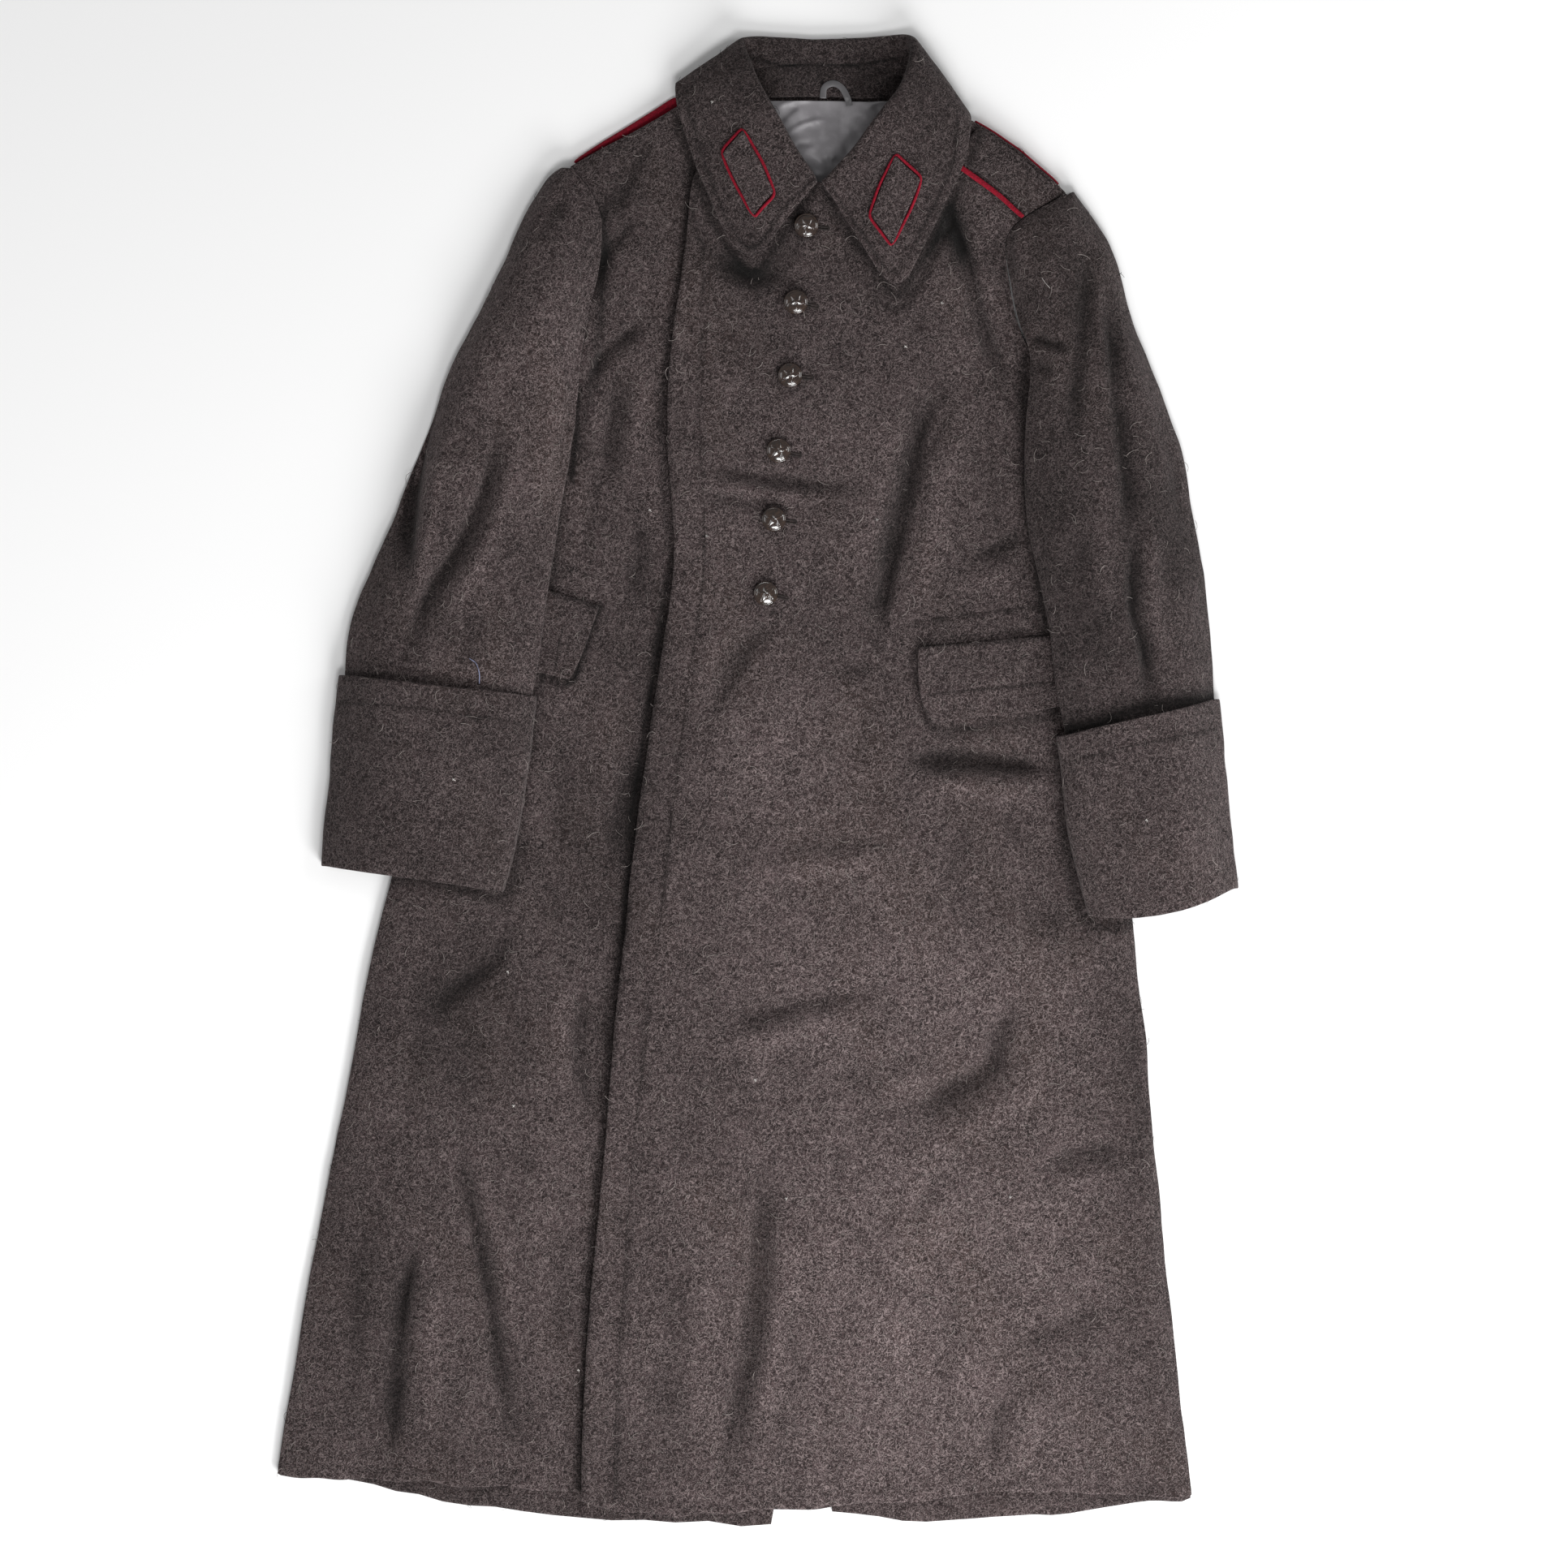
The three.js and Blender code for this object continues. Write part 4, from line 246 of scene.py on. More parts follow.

# Narrow lines of painted shade beside the edges of collar leaves, flaps, sleeves, cuffs and boards, and
# dark lines along seams, stitching and hems: the pieces marked, places, half width in millimetres and how
# much darker
Shade = namedtuple("Shade", "on through wide darker")
FRONTS = ("front_left", "front_right")
EDGE_SHADES = [
    Shade(
        FRONTS, [(836, 150), (856, 215), (888, 292), (922, 334), (946, 322), (978, 266), (1006, 232)], 5, 0.24
    ),
    Shade(
        FRONTS,
        [(1016, 232), (1030, 262), (1064, 312), (1102, 362), (1132, 326), (1158, 282), (1186, 222)],
        6,
        0.26,
    ),
    Shade(FRONTS, [(1160, 240), (1170, 268), (1182, 310)], 12, 0.14),
    Shade(("board_left",), [(1204, 136), (1206, 170), (1190, 210)], 4, 0.24),
    Shade(
        ("front_right",), [(852, 205), (844, 300), (826, 400), (816, 500), (818, 600), (828, 690)], 4, 0.24
    ),
    Shade(
        ("front_right",),
        [(828, 690), (810, 800), (782, 1000), (768, 1150), (748, 1350), (728, 1550), (714, 1840)],
        5,
        0.30,
    ),
    Shade(("front_left",), [(857, 210), (848, 300), (830, 400), (822, 520), (832, 650), (822, 760)], 2, 0.14),
    Shade(
        ("front_left",),
        [(822, 760), (800, 920), (783, 1060), (760, 1250), (741, 1450), (728, 1600), (717, 1840)],
        2,
        0.16,
    ),
    Shade(("front_right",), [(742, 262), (744, 330), (736, 420), (722, 500), (704, 580)], 6, 0.26),
    Shade(("front_right",), [(694, 600), (682, 700), (672, 800), (662, 860)], 5, 0.24),
    Shade(("front_right",), [(660, 860), (640, 980), (626, 1100), (560, 1092), (480, 1080)], 6, 0.24),
    Shade(("front_left",), [(1234, 284), (1238, 330), (1250, 400), (1262, 452)], 4, 0.12),
    Shade(("front_left",), [(1262, 440), (1262, 560), (1272, 660), (1284, 740), (1300, 880)], 6, 0.26),
    Shade(("front_left",), [(1300, 920), (1312, 1030), (1336, 1130), (1380, 1140), (1440, 1124)], 6, 0.26),
    Shade(("sleeve_left_top",), [(1304, 902), (1350, 892), (1400, 874), (1450, 866), (1498, 858)], 8, 0.26),
    Shade(("sleeve_right_top",), [(418, 828), (500, 834), (560, 840), (655, 853)], 4, 0.20),
    Shade(
        ("front_left",),
        [(1304, 790), (1210, 797), (1130, 800), (1132, 850), (1152, 900), (1210, 894), (1304, 880)],
        3,
        0.26,
    ),
    Shade(("flap_left",), [(1130, 799), (1210, 793), (1297, 786)], 1.6, 0.20),
    Shade(("front_right",), [(737, 750), (727, 775), (713, 822), (700, 842), (668, 832)], 3.4, 0.42),
    Shade(("front_right",), [(714, 480), (710, 530), (704, 590)], 4, 0.42),
    Shade(("flap_right",), [(680, 730), (737, 749)], 1.6, 0.20),
    Shade(("front_left", "board_left"), [(1183, 213), (1225, 238), (1260, 272)], 3, 0.20),
    Shade(("sleeve_left_top",), [(1313, 240), (1275, 258), (1243, 280), (1238, 305)], 1.6, 0.12),
    Shade(("board_left",), [(1312, 242), (1288, 250), (1262, 268)], 5, 0.20),
    Shade(
        ("front_left",),
        [(842, 300), (866, 310), (862, 520), (866, 720), (822, 1060), (782, 1400), (757, 1846)],
        1.8,
        0.20,
    ),
    Shade(("front_left",), [(1126, 768), (1190, 759), (1284, 749)], 1.6, 0.24),
    Shade(("front_left",), [(1128, 790), (1200, 783), (1292, 776)], 1.4, 0.14),
    Shade(("flap_left",), [(1142, 857), (1200, 851), (1250, 846), (1300, 841)], 1.5, 0.20),
    Shade(("flap_right",), [(694, 774), (688, 800), (684, 826)], 1.5, 0.18),
    Shade(("front_right",), [(684, 698), (712, 706), (742, 717)], 1.6, 0.22),
    Shade(("cuff_right",), [(417, 867), (500, 873), (560, 881), (620, 889), (657, 894)], 1.5, 0.16),
    Shade(("cuff_left",), [(1309, 942), (1350, 931), (1400, 919), (1450, 909), (1498, 899)], 1.5, 0.16),
    Shade(("collar", "collar_stand"), [(924, 70), (960, 79), (1010, 81), (1060, 79), (1108, 71)], 1.4, 0.22),
    Shade(
        ("collar",),
        [(846, 110), (852, 150), (872, 212), (902, 284), (930, 306), (966, 258), (1000, 226)],
        1.6,
        0.19,
    ),
    Shade(
        ("collar",), [(1180, 150), (1174, 200), (1146, 262), (1104, 336), (1062, 290), (1024, 232)], 1.6, 0.19
    ),
    Shade(
        ("front_left",),
        [(716, 1840), (830, 1856), (930, 1852), (1040, 1838), (1240, 1830), (1450, 1832)],
        1.6,
        0.10,
    ),
    Shade(("front_right",), [(342, 1806), (430, 1812), (560, 1818), (716, 1828)], 1.6, 0.10),
]
# How much painted shade darkens the cloth round each button
BUTTON_SHADE = 0.16
SHADE_DEPTH = 0.85

# The sleeves' edges: the body's ridges stay low beyond the inner ones
RIGHT_SLEEVE_INNER = [
    (738, 300), (726, 380), (716, 500), (694, 600), (672, 760), (662, 858), (622, 1098),
]
LEFT_SLEEVE_INNER = [
    (1234, 290), (1246, 380), (1264, 460), (1266, 600), (1280, 700), (1302, 900), (1342, 1130),
]
RIGHT_SLEEVE_OUTER = [
    (700, 203), (640, 300), (560, 440), (520, 530), (460, 680), (430, 790), (418, 840),
]
LEFT_SLEEVE_OUTER = [
    (1313, 240), (1370, 310), (1400, 400), (1455, 560), (1480, 680), (1494, 790), (1500, 870),
]

# Rows of stitching, through places of the photograph
Row = namedtuple("Row", "on through")
STITCH_ROWS = [
    Row("front_left", [(876, 300), (872, 400), (862, 520), (868, 640), (866, 720), (846, 860), (822, 1060)]),
    Row("front_left", [(822, 1060), (804, 1230), (782, 1400), (770, 1560), (760, 1720), (757, 1846)]),
    Row("cuff_right", [(417, 866), (500, 872), (560, 880), (620, 888), (657, 893)]),
    Row("cuff_left", [(1309, 941), (1350, 930), (1400, 918), (1450, 908), (1498, 898)]),
    Row("flap_left", [(1142, 856), (1200, 850), (1250, 845), (1296, 841)]),
    Row("flap_right", [(694, 776), (688, 800), (686, 824)]),
    Row("front_left", [(1128, 767), (1190, 758), (1282, 748)]),
    Row("front_left", [(1128, 789), (1200, 782), (1290, 775)]),
    Row("front_right", [(684, 697), (712, 705), (742, 716)]),
    Row("board_left", [(1198, 152), (1244, 190), (1300, 238)]),
]

# Lint on the nap: a pale speck each
LINT = [
    (877, 127), (870, 660), (800, 628), (625, 1197), (632, 1362), (1160, 373), (1115, 427),
    (712, 1688), (968, 1476), (1080, 640), (560, 960), (1410, 1010), (930, 1330), (1244, 1474),
]


class Line:
    """A smooth line through places of the photograph, in metres."""

    def __init__(self, places, steps=8):
        points = [np.array(place(*p)) for p in places]
        before = 2 * points[0] - points[1]
        after = 2 * points[-1] - points[-2]
        run = [before, *points, after]
        line = []
        for p0, p1, p2, p3 in zip(run, run[1:], run[2:], run[3:]):
            for t in np.linspace(0, 1, steps, endpoint=False):
                line.append(
                    0.5 * (2 * p1 + (p2 - p0) * t + (2 * p0 - 5 * p1 + 4 * p2 - p3) * t**2
                           + (3 * p1 - p0 - 3 * p2 + p3) * t**3)
                )
        line.append(points[-1])
        self.points = np.array(line)
        steps_long = np.linalg.norm(np.diff(self.points, axis=0), axis=1)
        self.reach = np.concatenate([[0], np.cumsum(steps_long)])
        self.length = self.reach[-1]

    def nearest(self, x, y):
        """For many places: the share of the line passed, the side on which it lies, and the distance."""
        best = np.full(x.shape, 1e9)
        share = np.zeros(x.shape)
        side = np.zeros(x.shape)
        for i in range(len(self.points) - 1):
            a, b = self.points[i], self.points[i + 1]
            d = b - a
            size = max(np.hypot(*d), 1e-9)
            t = np.clip(((x - a[0]) * d[0] + (y - a[1]) * d[1]) / size**2, 0, 1)
            away = np.hypot(x - a[0] - d[0] * t, y - a[1] - d[1] * t)
            left = ((y - a[1]) * d[0] - (x - a[0]) * d[1]) / size
            closer = away < best
            best = np.where(closer, away, best)
            share = np.where(closer, (self.reach[i] + t * size) / self.length, share)
            side = np.where(closer, left, side)
        return share, side, best

    def at(self, reach):
        return np.array([np.interp(reach, self.reach, self.points[:, k]) for k in (0, 1)])


def smooth(low, high, value):
    """Rises gently from 0 at low to 1 at high."""
    t = np.clip((value - low) / (high - low), 0, 1)
    return t * t * (3 - 2 * t)


def fold_field(folds):
    """Adds the folds of a table: a height in metres at many places."""
    lines = [(Line(f.through, 5), f) for f in folds]

    def height(x, y):
        total = np.zeros(x.shape)
        for line, fold in lines:
            reach = 3 * max(fold.steep, fold.soft) * MM
            low, high = line.points.min(0) - reach, line.points.max(0) + reach
            near = (x > low[0]) & (x < high[0]) & (y > low[1]) & (y < high[1])
            if not near.any():
                continue
            share, side, away = line.nearest(x[near], y[near])
            width = np.where(side > 0, fold.soft, fold.steep) * FOLD_WIDTH * MM
            ends = smooth(0, 0.3, share) * smooth(1, 0.7, share)
            total[near] += fold.rise * MM * ends * np.exp(-((away / width) ** 2))
        return total

    return height


def uneven(x, y, cell, seed):
    """Soft random unevenness from -1 to 1, the same at each run."""
    u, v = x / cell, y / cell
    i, j = np.floor(u).astype(int), np.floor(v).astype(int)
    fu, fv = u - i, v - j
    fu, fv = fu * fu * (3 - 2 * fu), fv * fv * (3 - 2 * fv)

    def corner(a, b):
        mixed = np.sin(a * 127.1 + b * 311.7 + seed * 74.7) * 43758.5453
        return 2 * (mixed - np.floor(mixed)) - 1

    low = corner(i, j) * (1 - fu) + corner(i + 1, j) * fu
    high = corner(i, j + 1) * (1 - fu) + corner(i + 1, j + 1) * fu
    return low * (1 - fv) + high * fv


# Layers of soft unevenness: the size of a dent, the seed and the height, in metres
Grain = namedtuple("Grain", "cell seed height")
BODY_GRAIN = [Grain(0.085, 1, 0.0009), Grain(0.034, 2, 0.0006), Grain(0.017, 3, 0.00028)]
SKIRT_GRAIN = Grain(0.026, 4, 0.0005)
SLEEVE_GRAIN = [Grain(0.07, 5, 0.0010), Grain(0.03, 6, 0.0007), Grain(0.016, 7, 0.0003)]
BACK_GRAIN = Grain(0.06, 9, 0.0012)
CUFF_GRAIN = [Grain(0.06, 12, 0.0009), Grain(0.025, 13, 0.0004)]
COLLAR_GRAIN = [Grain(0.04, 15, 0.0006), Grain(0.018, 16, 0.0003)]
LINING_GRAIN = [Grain(0.014, 31, 0.0005), Grain(0.007, 32, 0.0002)]
SIDEWAYS_GRAIN = [Grain(0.045, 41, 0.0011), Grain(0.016, 42, 0.0004)]
LENGTHWAYS_GRAIN = [Grain(0.045, 43, 0.0011), Grain(0.016, 44, 0.0004)]
HEM_GRAIN = Grain(0.024, 45, 0.0026)
NAP_GRAIN = [Grain(0.06, 21, 0.035), Grain(0.022, 22, 0.03)]


def grained(x, y, layers):
    """The sum of some layers of unevenness."""
    return sum(uneven(x, y, layer.cell, layer.seed) * layer.height for layer in layers)


def down_to(start, full, y):
    """Rises from 0 to 1 between two rows of the photograph."""
    return smooth(place(0, start)[1], place(0, full)[1], y)


def beside(x, y, places, sign):
    """Signed distance to a line: positive to the viewer's right of it when sign is 1."""
    share, side, away = Line(places, 4).nearest(x, y)
    return np.where(side > 0, away, -away) * sign


body_folds = fold_field(BODY_FOLDS)
right_folds = fold_field(RIGHT_SLEEVE_FOLDS)
left_folds = fold_field(LEFT_SLEEVE_FOLDS)
cuff_folds = fold_field(CUFF_FOLDS)
lining_folds = fold_field(LINING_FOLDS)

# How much deeper and how much narrower the folds are made than their tables say
FOLD_GAIN = 1.8
FOLD_WIDTH = 0.84

# How far at most the fronts sink below their solids, in metres, above and at the hem
DEEPEST_BODY = 0.0074
DEEPEST_HEM = 0.0046

# Rows of the photograph where something starts and where it is full, distances in metres across an edge,
# and how much longer down the coat than across it an unevenness is drawn
SKIRT_ROWS = (1150, 1400)
SKIRT_DRAWN = 0.3
SHALLOW_ROWS = (1840, 1500)
SLEEVE_ROWS = (190, 1150)
UNDER_SLEEVE = (0.010, -0.006)
SLEEVE_RIM = (0.001, 0.014)
BACK_ROWS = (1350, 1800)
HEM_ROWS = (1750, 1815)
HEM_DRAWN = 0.4
BACK_DRAWN = (1.6, 0.35)


def body_height(x, y):
    """How far the fronts and what lies on them rise above their solids."""
    skirt = uneven(x, y * SKIRT_DRAWN, SKIRT_GRAIN.cell, SKIRT_GRAIN.seed) * SKIRT_GRAIN.height
    grain = grained(x, y, BODY_GRAIN) + skirt * down_to(*SKIRT_ROWS, y)
    deepest = DEEPEST_HEM + (DEEPEST_BODY - DEEPEST_HEM) * down_to(*SHALLOW_ROWS, y)
    height = np.maximum(body_folds(x, y) * FOLD_GAIN + grain, -deepest)
    # the lines run down the photograph, so the sleeves lie on their outer sides
    right_under = smooth(*UNDER_SLEEVE, beside(x, y, RIGHT_SLEEVE_INNER, 1))
    left_under = smooth(*UNDER_SLEEVE, beside(x, y, LEFT_SLEEVE_INNER, -1))
    reach = (y < place(0, SLEEVE_ROWS[0])[1]) & (y > place(0, SLEEVE_ROWS[1])[1])
    covered = np.maximum(right_under, left_under) * reach
    return np.where(height > 0, height * (1 - covered), height)


def sleeve_height(folds, inner, outer, inner_sign):
    """A function that gives how far a sleeve's top rises above its solid; its rims stay still."""

    def height(x, y):
        inside = np.minimum(beside(x, y, inner, -inner_sign), beside(x, y, outer, inner_sign))
        return (folds(x, y) * FOLD_GAIN + grained(x, y, SLEEVE_GRAIN)) * smooth(*SLEEVE_RIM, inside)

    return height


right_sleeve_height = sleeve_height(right_folds, RIGHT_SLEEVE_INNER, RIGHT_SLEEVE_OUTER, 1)
left_sleeve_height = sleeve_height(left_folds, LEFT_SLEEVE_INNER, LEFT_SLEEVE_OUTER, -1)


def back_height(x, y):
    """The backs lie flat, but for slack ridges towards the hem."""
    across, along = BACK_DRAWN
    ridges = np.maximum(0, uneven(x * across, y * along, BACK_GRAIN.cell, BACK_GRAIN.seed))
    return ridges * BACK_GRAIN.height * down_to(*BACK_ROWS, y)


def wander(co):
    """Moves all that lies at a place a little sideways, more so at the hems: no outline is ruled."""
    x, y = co[:, 0].copy(), co[:, 1].copy()
    co[:, 0] += grained(x, y, SIDEWAYS_GRAIN)
    ripple = uneven(x, y * HEM_DRAWN, HEM_GRAIN.cell, HEM_GRAIN.seed) * HEM_GRAIN.height
    co[:, 1] += grained(x, y, LENGTHWAYS_GRAIN)
    co[:, 1] += ripple * down_to(*HEM_ROWS, y)
    return co


# Materials: sums of shader nodes
class Maths:
    """A socket of a material whose sums are written as expressions."""

    def __init__(self, material, socket):
        self.material, self.socket = material, socket

    def sum(self, kind, *values):
        return self.material.node(
            "ShaderNodeMath", {"operation": kind}, {i: v for i, v in enumerate(values)}
        )[0]

    def __add__(self, other):
        return self.sum("ADD", self, other)

    __radd__ = __add__

    def __sub__(self, other):
        return self.sum("SUBTRACT", self, other)

    def __rsub__(self, other):
        return self.sum("SUBTRACT", other, self)

    def __mul__(self, other):
        return self.sum("MULTIPLY", self, other)

    __rmul__ = __mul__

    def over(self, low, high):
        """Rises smoothly from 0 to 1 between low and high."""
        return self.material.node(
            "ShaderNodeMapRange",
            {"interpolation_type": "SMOOTHSTEP"},
            {"Value": self, "From Min": low, "From Max": high, "To Min": 0.0, "To Max": 1.0},
        )[0]

    def greater(self, other):
        return self.sum("MAXIMUM", self, other)


class Finish:
    """A material in the making, with its Principled shader."""

    def __init__(self, name):
        self.material = bpy.data.materials.new(name)
        self.material.use_nodes = True
        self.tree = self.material.node_tree
        self.shader = self.tree.nodes["Principled BSDF"]
        self.coords = self.node("ShaderNodeTexCoord", {}, {}, "Object")

    def node(self, kind, settings, inputs, output=None):
        made = self.tree.nodes.new(kind)
        for key, value in settings.items():
            if key == "stops":
                ramp = made.color_ramp
                while len(ramp.elements) < len(value):
                    ramp.elements.new(0.5)
                for element, (at, colour) in zip(ramp.elements, value):
                    element.position, element.color = at, (*colour, 1)
            else:
                setattr(made, key, value)
        for key, value in inputs.items():
            socket = made.inputs[key]
            if isinstance(value, Maths):
                self.tree.links.new(value.socket, socket)
            elif value is not None:
                socket.default_value = value
        if output is not None:
            return Maths(self, made.outputs[output])
        return [Maths(self, s) for s in made.outputs]

    def drawn(self, turn, size, coords=None, shift=(0, 0, 0)):
        """Coordinates in which a feature of the given size, turned, measures one."""
        return self.node(
            "ShaderNodeMapping",
            {"vector_type": "TEXTURE"},
            {
                "Vector": coords or self.coords,
                "Rotation": (0, 0, math.radians(turn)),
                "Scale": size,
                "Location": shift,
            },
            "Vector",
        )

    def noise(self, vector, scale=1.0, detail=2.0, roughness=0.5, distortion=0.0):
        return self.node(
            "ShaderNodeTexNoise",
            {},
            {
                "Vector": vector,
                "Scale": scale,
                "Detail": detail,
                "Roughness": roughness,
                "Distortion": distortion,
            },
            "Fac",
        )

    def noise_colour(self, vector, scale):
        return self.node("ShaderNodeTexNoise", {}, {"Vector": vector, "Scale": scale, "Detail": 1.0}, "Color")

    def vector(self, kind, *values, scale=None):
        inputs = {i: v for i, v in enumerate(values)}
        if scale is not None:
            inputs["Scale"] = scale
        return self.node("ShaderNodeVectorMath", {"operation": kind}, inputs, "Vector")

    def blend(self, share, a, b, kind="MIX"):
        return self.node(
            "ShaderNodeMix", {"data_type": "RGBA", "blend_type": kind}, {0: share, 6: a, 7: b}
        )[2]

    def attribute(self, name):
        return self.node("ShaderNodeAttribute", {"attribute_name": name}, {}, "Fac")

    def set(self, **values):
        for name, value in values.items():
            socket = self.shader.inputs[name.replace("_", " ")]
            if isinstance(value, Maths):
                self.tree.links.new(value.socket, socket)
            else:
                socket.default_value = value
        return self

    def bump(self, height, strength, distance):
        normal = self.node(
            "ShaderNodeBump", {}, {"Height": height, "Strength": strength, "Distance": distance}, "Normal"
        )
        self.set(Normal=normal)
        return self


def colour(r, g, b):
    """A colour as it is seen, 0 to 255, for the shader."""
    def linear(value):
        value /= 255
        return value / 12.92 if value <= 0.04045 else ((value + 0.055) / 1.055) ** 2.4

    return (linear(r), linear(g), linear(b), 1.0)


def wandering(finish, amount, scale):
    """Object coordinates pushed about, so that hairs curl."""
    push = finish.vector("SUBTRACT", finish.noise_colour(finish.coords, scale), (0.5, 0.5, 0.5))
    return finish.vector("ADD", finish.coords, finish.vector("SCALE", push, scale=amount))


def hair_layer(finish, coords, turn, along, across, low, high, shift):
    """Hairs that lie one way: noise drawn out along them, with only its crests kept."""
    drawn = finish.drawn(turn, (along, across, across), coords, shift)
    return finish.noise(drawn, 1.0, 1.0, 0.4).over(low, high)


# Painted hairs: the ways they lie, in degrees, their length and width in metres, and the crests kept
PALE_HAIR_TURNS = (8, 38, 66, 97, 128, 159)
DARK_HAIR_TURNS = (22, 82, 143)
HAIR_LONG = 0.0066
HAIR_WIDE = 0.00088
DARK_HAIR_WIDE = HAIR_WIDE * 1.2
PALE_CRESTS = (0.60, 0.72)
DARK_CRESTS = (0.57, 0.70)

# Colours as they are seen, from 0 to 255
WOOL_DEEP = (44, 36, 36)
WOOL_MIDDLE = (76, 66, 65)
WOOL_LIGHT = (111, 98, 98)
WOOL_WARM = (80, 66, 56)
WOOL_DARK_HAIR = (26, 22, 21)
WOOL_PALE_HAIR = (182, 172, 168)
# Ends of the scale of nap tone and painted light and shade on the wool
NAP_AND_SHADE_DARKEST = (20, 17, 16)
NAP_AND_LIGHT_BRIGHTEST = (255, 244, 248)
SATIN_SHADE = (128, 125, 128)
SATIN_SHEEN = (150, 147, 150)
SATIN_THREAD = (92, 90, 92)
PIPING_SHADE = (98, 9, 26)
PIPING_LIGHT = (148, 16, 38)
PIPING_HAIR = (158, 40, 58)
BUTTON_DARK = (30, 20, 15)
BUTTON_LIGHT = (58, 41, 31)


def wool_finish():
    """Felted greatcoat wool: a mottled ground under pale and dark hairs, scaled by nap tone and painted light
    and shade.
    """
    finish = Finish("felted_wool")
    curl = wandering(finish, 0.0052, 210.0)
    pale, dark = None, None
    for k, turn in enumerate(PALE_HAIR_TURNS):
        shift = (0.31 * k, 0.17 * k, 0.0)
        layer = hair_layer(finish, curl, turn, HAIR_LONG, HAIR_WIDE, *PALE_CRESTS, shift)
        pale = layer if pale is None else pale.greater(layer)
    for k, turn in enumerate(DARK_HAIR_TURNS):
        shift = (0.23 * k + 0.1, 0.29 * k, 0.0)
        layer = hair_layer(finish, curl, turn, HAIR_LONG, DARK_HAIR_WIDE, *DARK_CRESTS, shift)
        dark = layer if dark is None else dark.greater(layer)
    mottle = finish.noise(finish.coords, 420.0, 3.0, 0.65)
    clouds = finish.noise(finish.coords, 46.0, 4.0, 0.6)
    warm = finish.noise(finish.drawn(20, (1.0, 2.0, 1.0)), 16.0, 2.0, 0.5).over(0.50, 0.68)
    nap = finish.attribute("nap")
    stops = [(0.32, WOOL_DEEP), (0.5, WOOL_MIDDLE), (0.68, WOOL_LIGHT)]
    ground = finish.node(
        "ShaderNodeValToRGB",
        {"stops": [(at, colour(*seen)[:3]) for at, seen in stops]},
        {"Fac": mottle * 0.6 + clouds * 0.4},
        "Color",
    )
    ground = finish.blend(warm * 0.26, ground, colour(*WOOL_WARM))
    ground = finish.blend(dark * 0.76, ground, colour(*WOOL_DARK_HAIR))
    hairy = finish.blend(pale * 0.74, ground, colour(*WOOL_PALE_HAIR))
    # Painted light and shade: the attribute scales the colour between these ends, with nap tone
    lit = finish.blend(nap, colour(*NAP_AND_SHADE_DARKEST), colour(*NAP_AND_LIGHT_BRIGHTEST))
    finish.set(Base_Color=finish.blend(1.0, hairy, lit, "MULTIPLY"))
    finish.set(Roughness=0.92, Sheen_Weight=0.22, Sheen_Roughness=0.5, Specular_IOR_Level=0.15)
    finish.set(Sheen_Tint=(0.62, 0.57, 0.56, 1.0))
    return finish.bump(pale * 0.7 - dark * 0.5 + mottle * 0.9 + clouds * 0.8, 0.6, 0.0009).material


def satin_finish(name, dim):
    """Lining satin; dim below 1 darkens its colours as painted shade, for the loop that lies in shade."""
    finish = Finish(name)

    def seen(rgb):
        return colour(*[value * dim for value in rgb])

    weave = finish.noise(finish.drawn(8, (0.0014, 0.0004, 0.0014)), 1.0, 2.0, 0.6)
    clouds = finish.noise(finish.coords, 60.0, 2.0, 0.5)
    tone = finish.blend(clouds.over(0.3, 0.7), seen(SATIN_SHADE), seen(SATIN_SHEEN))
    finish.set(Base_Color=finish.blend(weave * 0.3, tone, seen(SATIN_THREAD)))
    finish.set(Roughness=0.44, Specular_IOR_Level=0.5, Sheen_Weight=0.2, Sheen_Roughness=0.4)
    return finish.bump(weave + clouds * 0.6, 0.22, 0.0003).material


def piping_finish():
    """Crimson cloth piping with a short nap."""
    finish = Finish("crimson_piping")
    curl = wandering(finish, 0.0016, 300.0)
    hairs = hair_layer(finish, curl, 40, 0.003, 0.0004, 0.5, 0.7, (2, 1, 0))
    tufts = finish.noise(finish.coords, 700.0, 3.0, 0.6)
    tone = finish.blend(tufts.over(0.3, 0.75), colour(*PIPING_SHADE), colour(*PIPING_LIGHT))
    finish.set(Base_Color=finish.blend(hairs * 0.3, tone, colour(*PIPING_HAIR)))
    finish.set(Roughness=0.85, Sheen_Weight=0.05, Sheen_Roughness=0.5, Specular_IOR_Level=0.15)
    return finish.bump(tufts + hairs * 0.5, 0.5, 0.0004).material


def button_finish():
    """Glossy brown plastic, a little streaked and scuffed."""
    finish = Finish("brown_button")
    streak = finish.noise(finish.drawn(35, (0.004, 0.0011, 0.0025)), 1.0, 3.0, 0.55, 0.6)
    scuff = finish.noise(finish.coords, 1300.0, 2.0, 0.6)
    tone = finish.blend(streak.over(0.35, 0.7), colour(*BUTTON_DARK), colour(*BUTTON_LIGHT))
    finish.set(Base_Color=tone)
    finish.set(Roughness=scuff * 0.10 + 0.10, Specular_IOR_Level=0.9, Coat_Weight=0.7)
    return finish.bump(scuff, 0.04, 0.0001).material


THREAD_DIM = 0.72


def plain_hair(name, seen):
    """Thread, hair or lint of one colour, a little uneven."""
    finish = Finish(name)
    shade = finish.noise(finish.coords, 240.0, 1.0)
    dim = [value * THREAD_DIM for value in seen]
    finish.set(Base_Color=finish.blend(shade.over(0.3, 0.7), colour(*seen), colour(*dim)))
    finish.set(Roughness=0.7, Specular_IOR_Level=0.3)
    return finish.material


WOOL = wool_finish()
SATIN = satin_finish("lining_satin", 1.0)
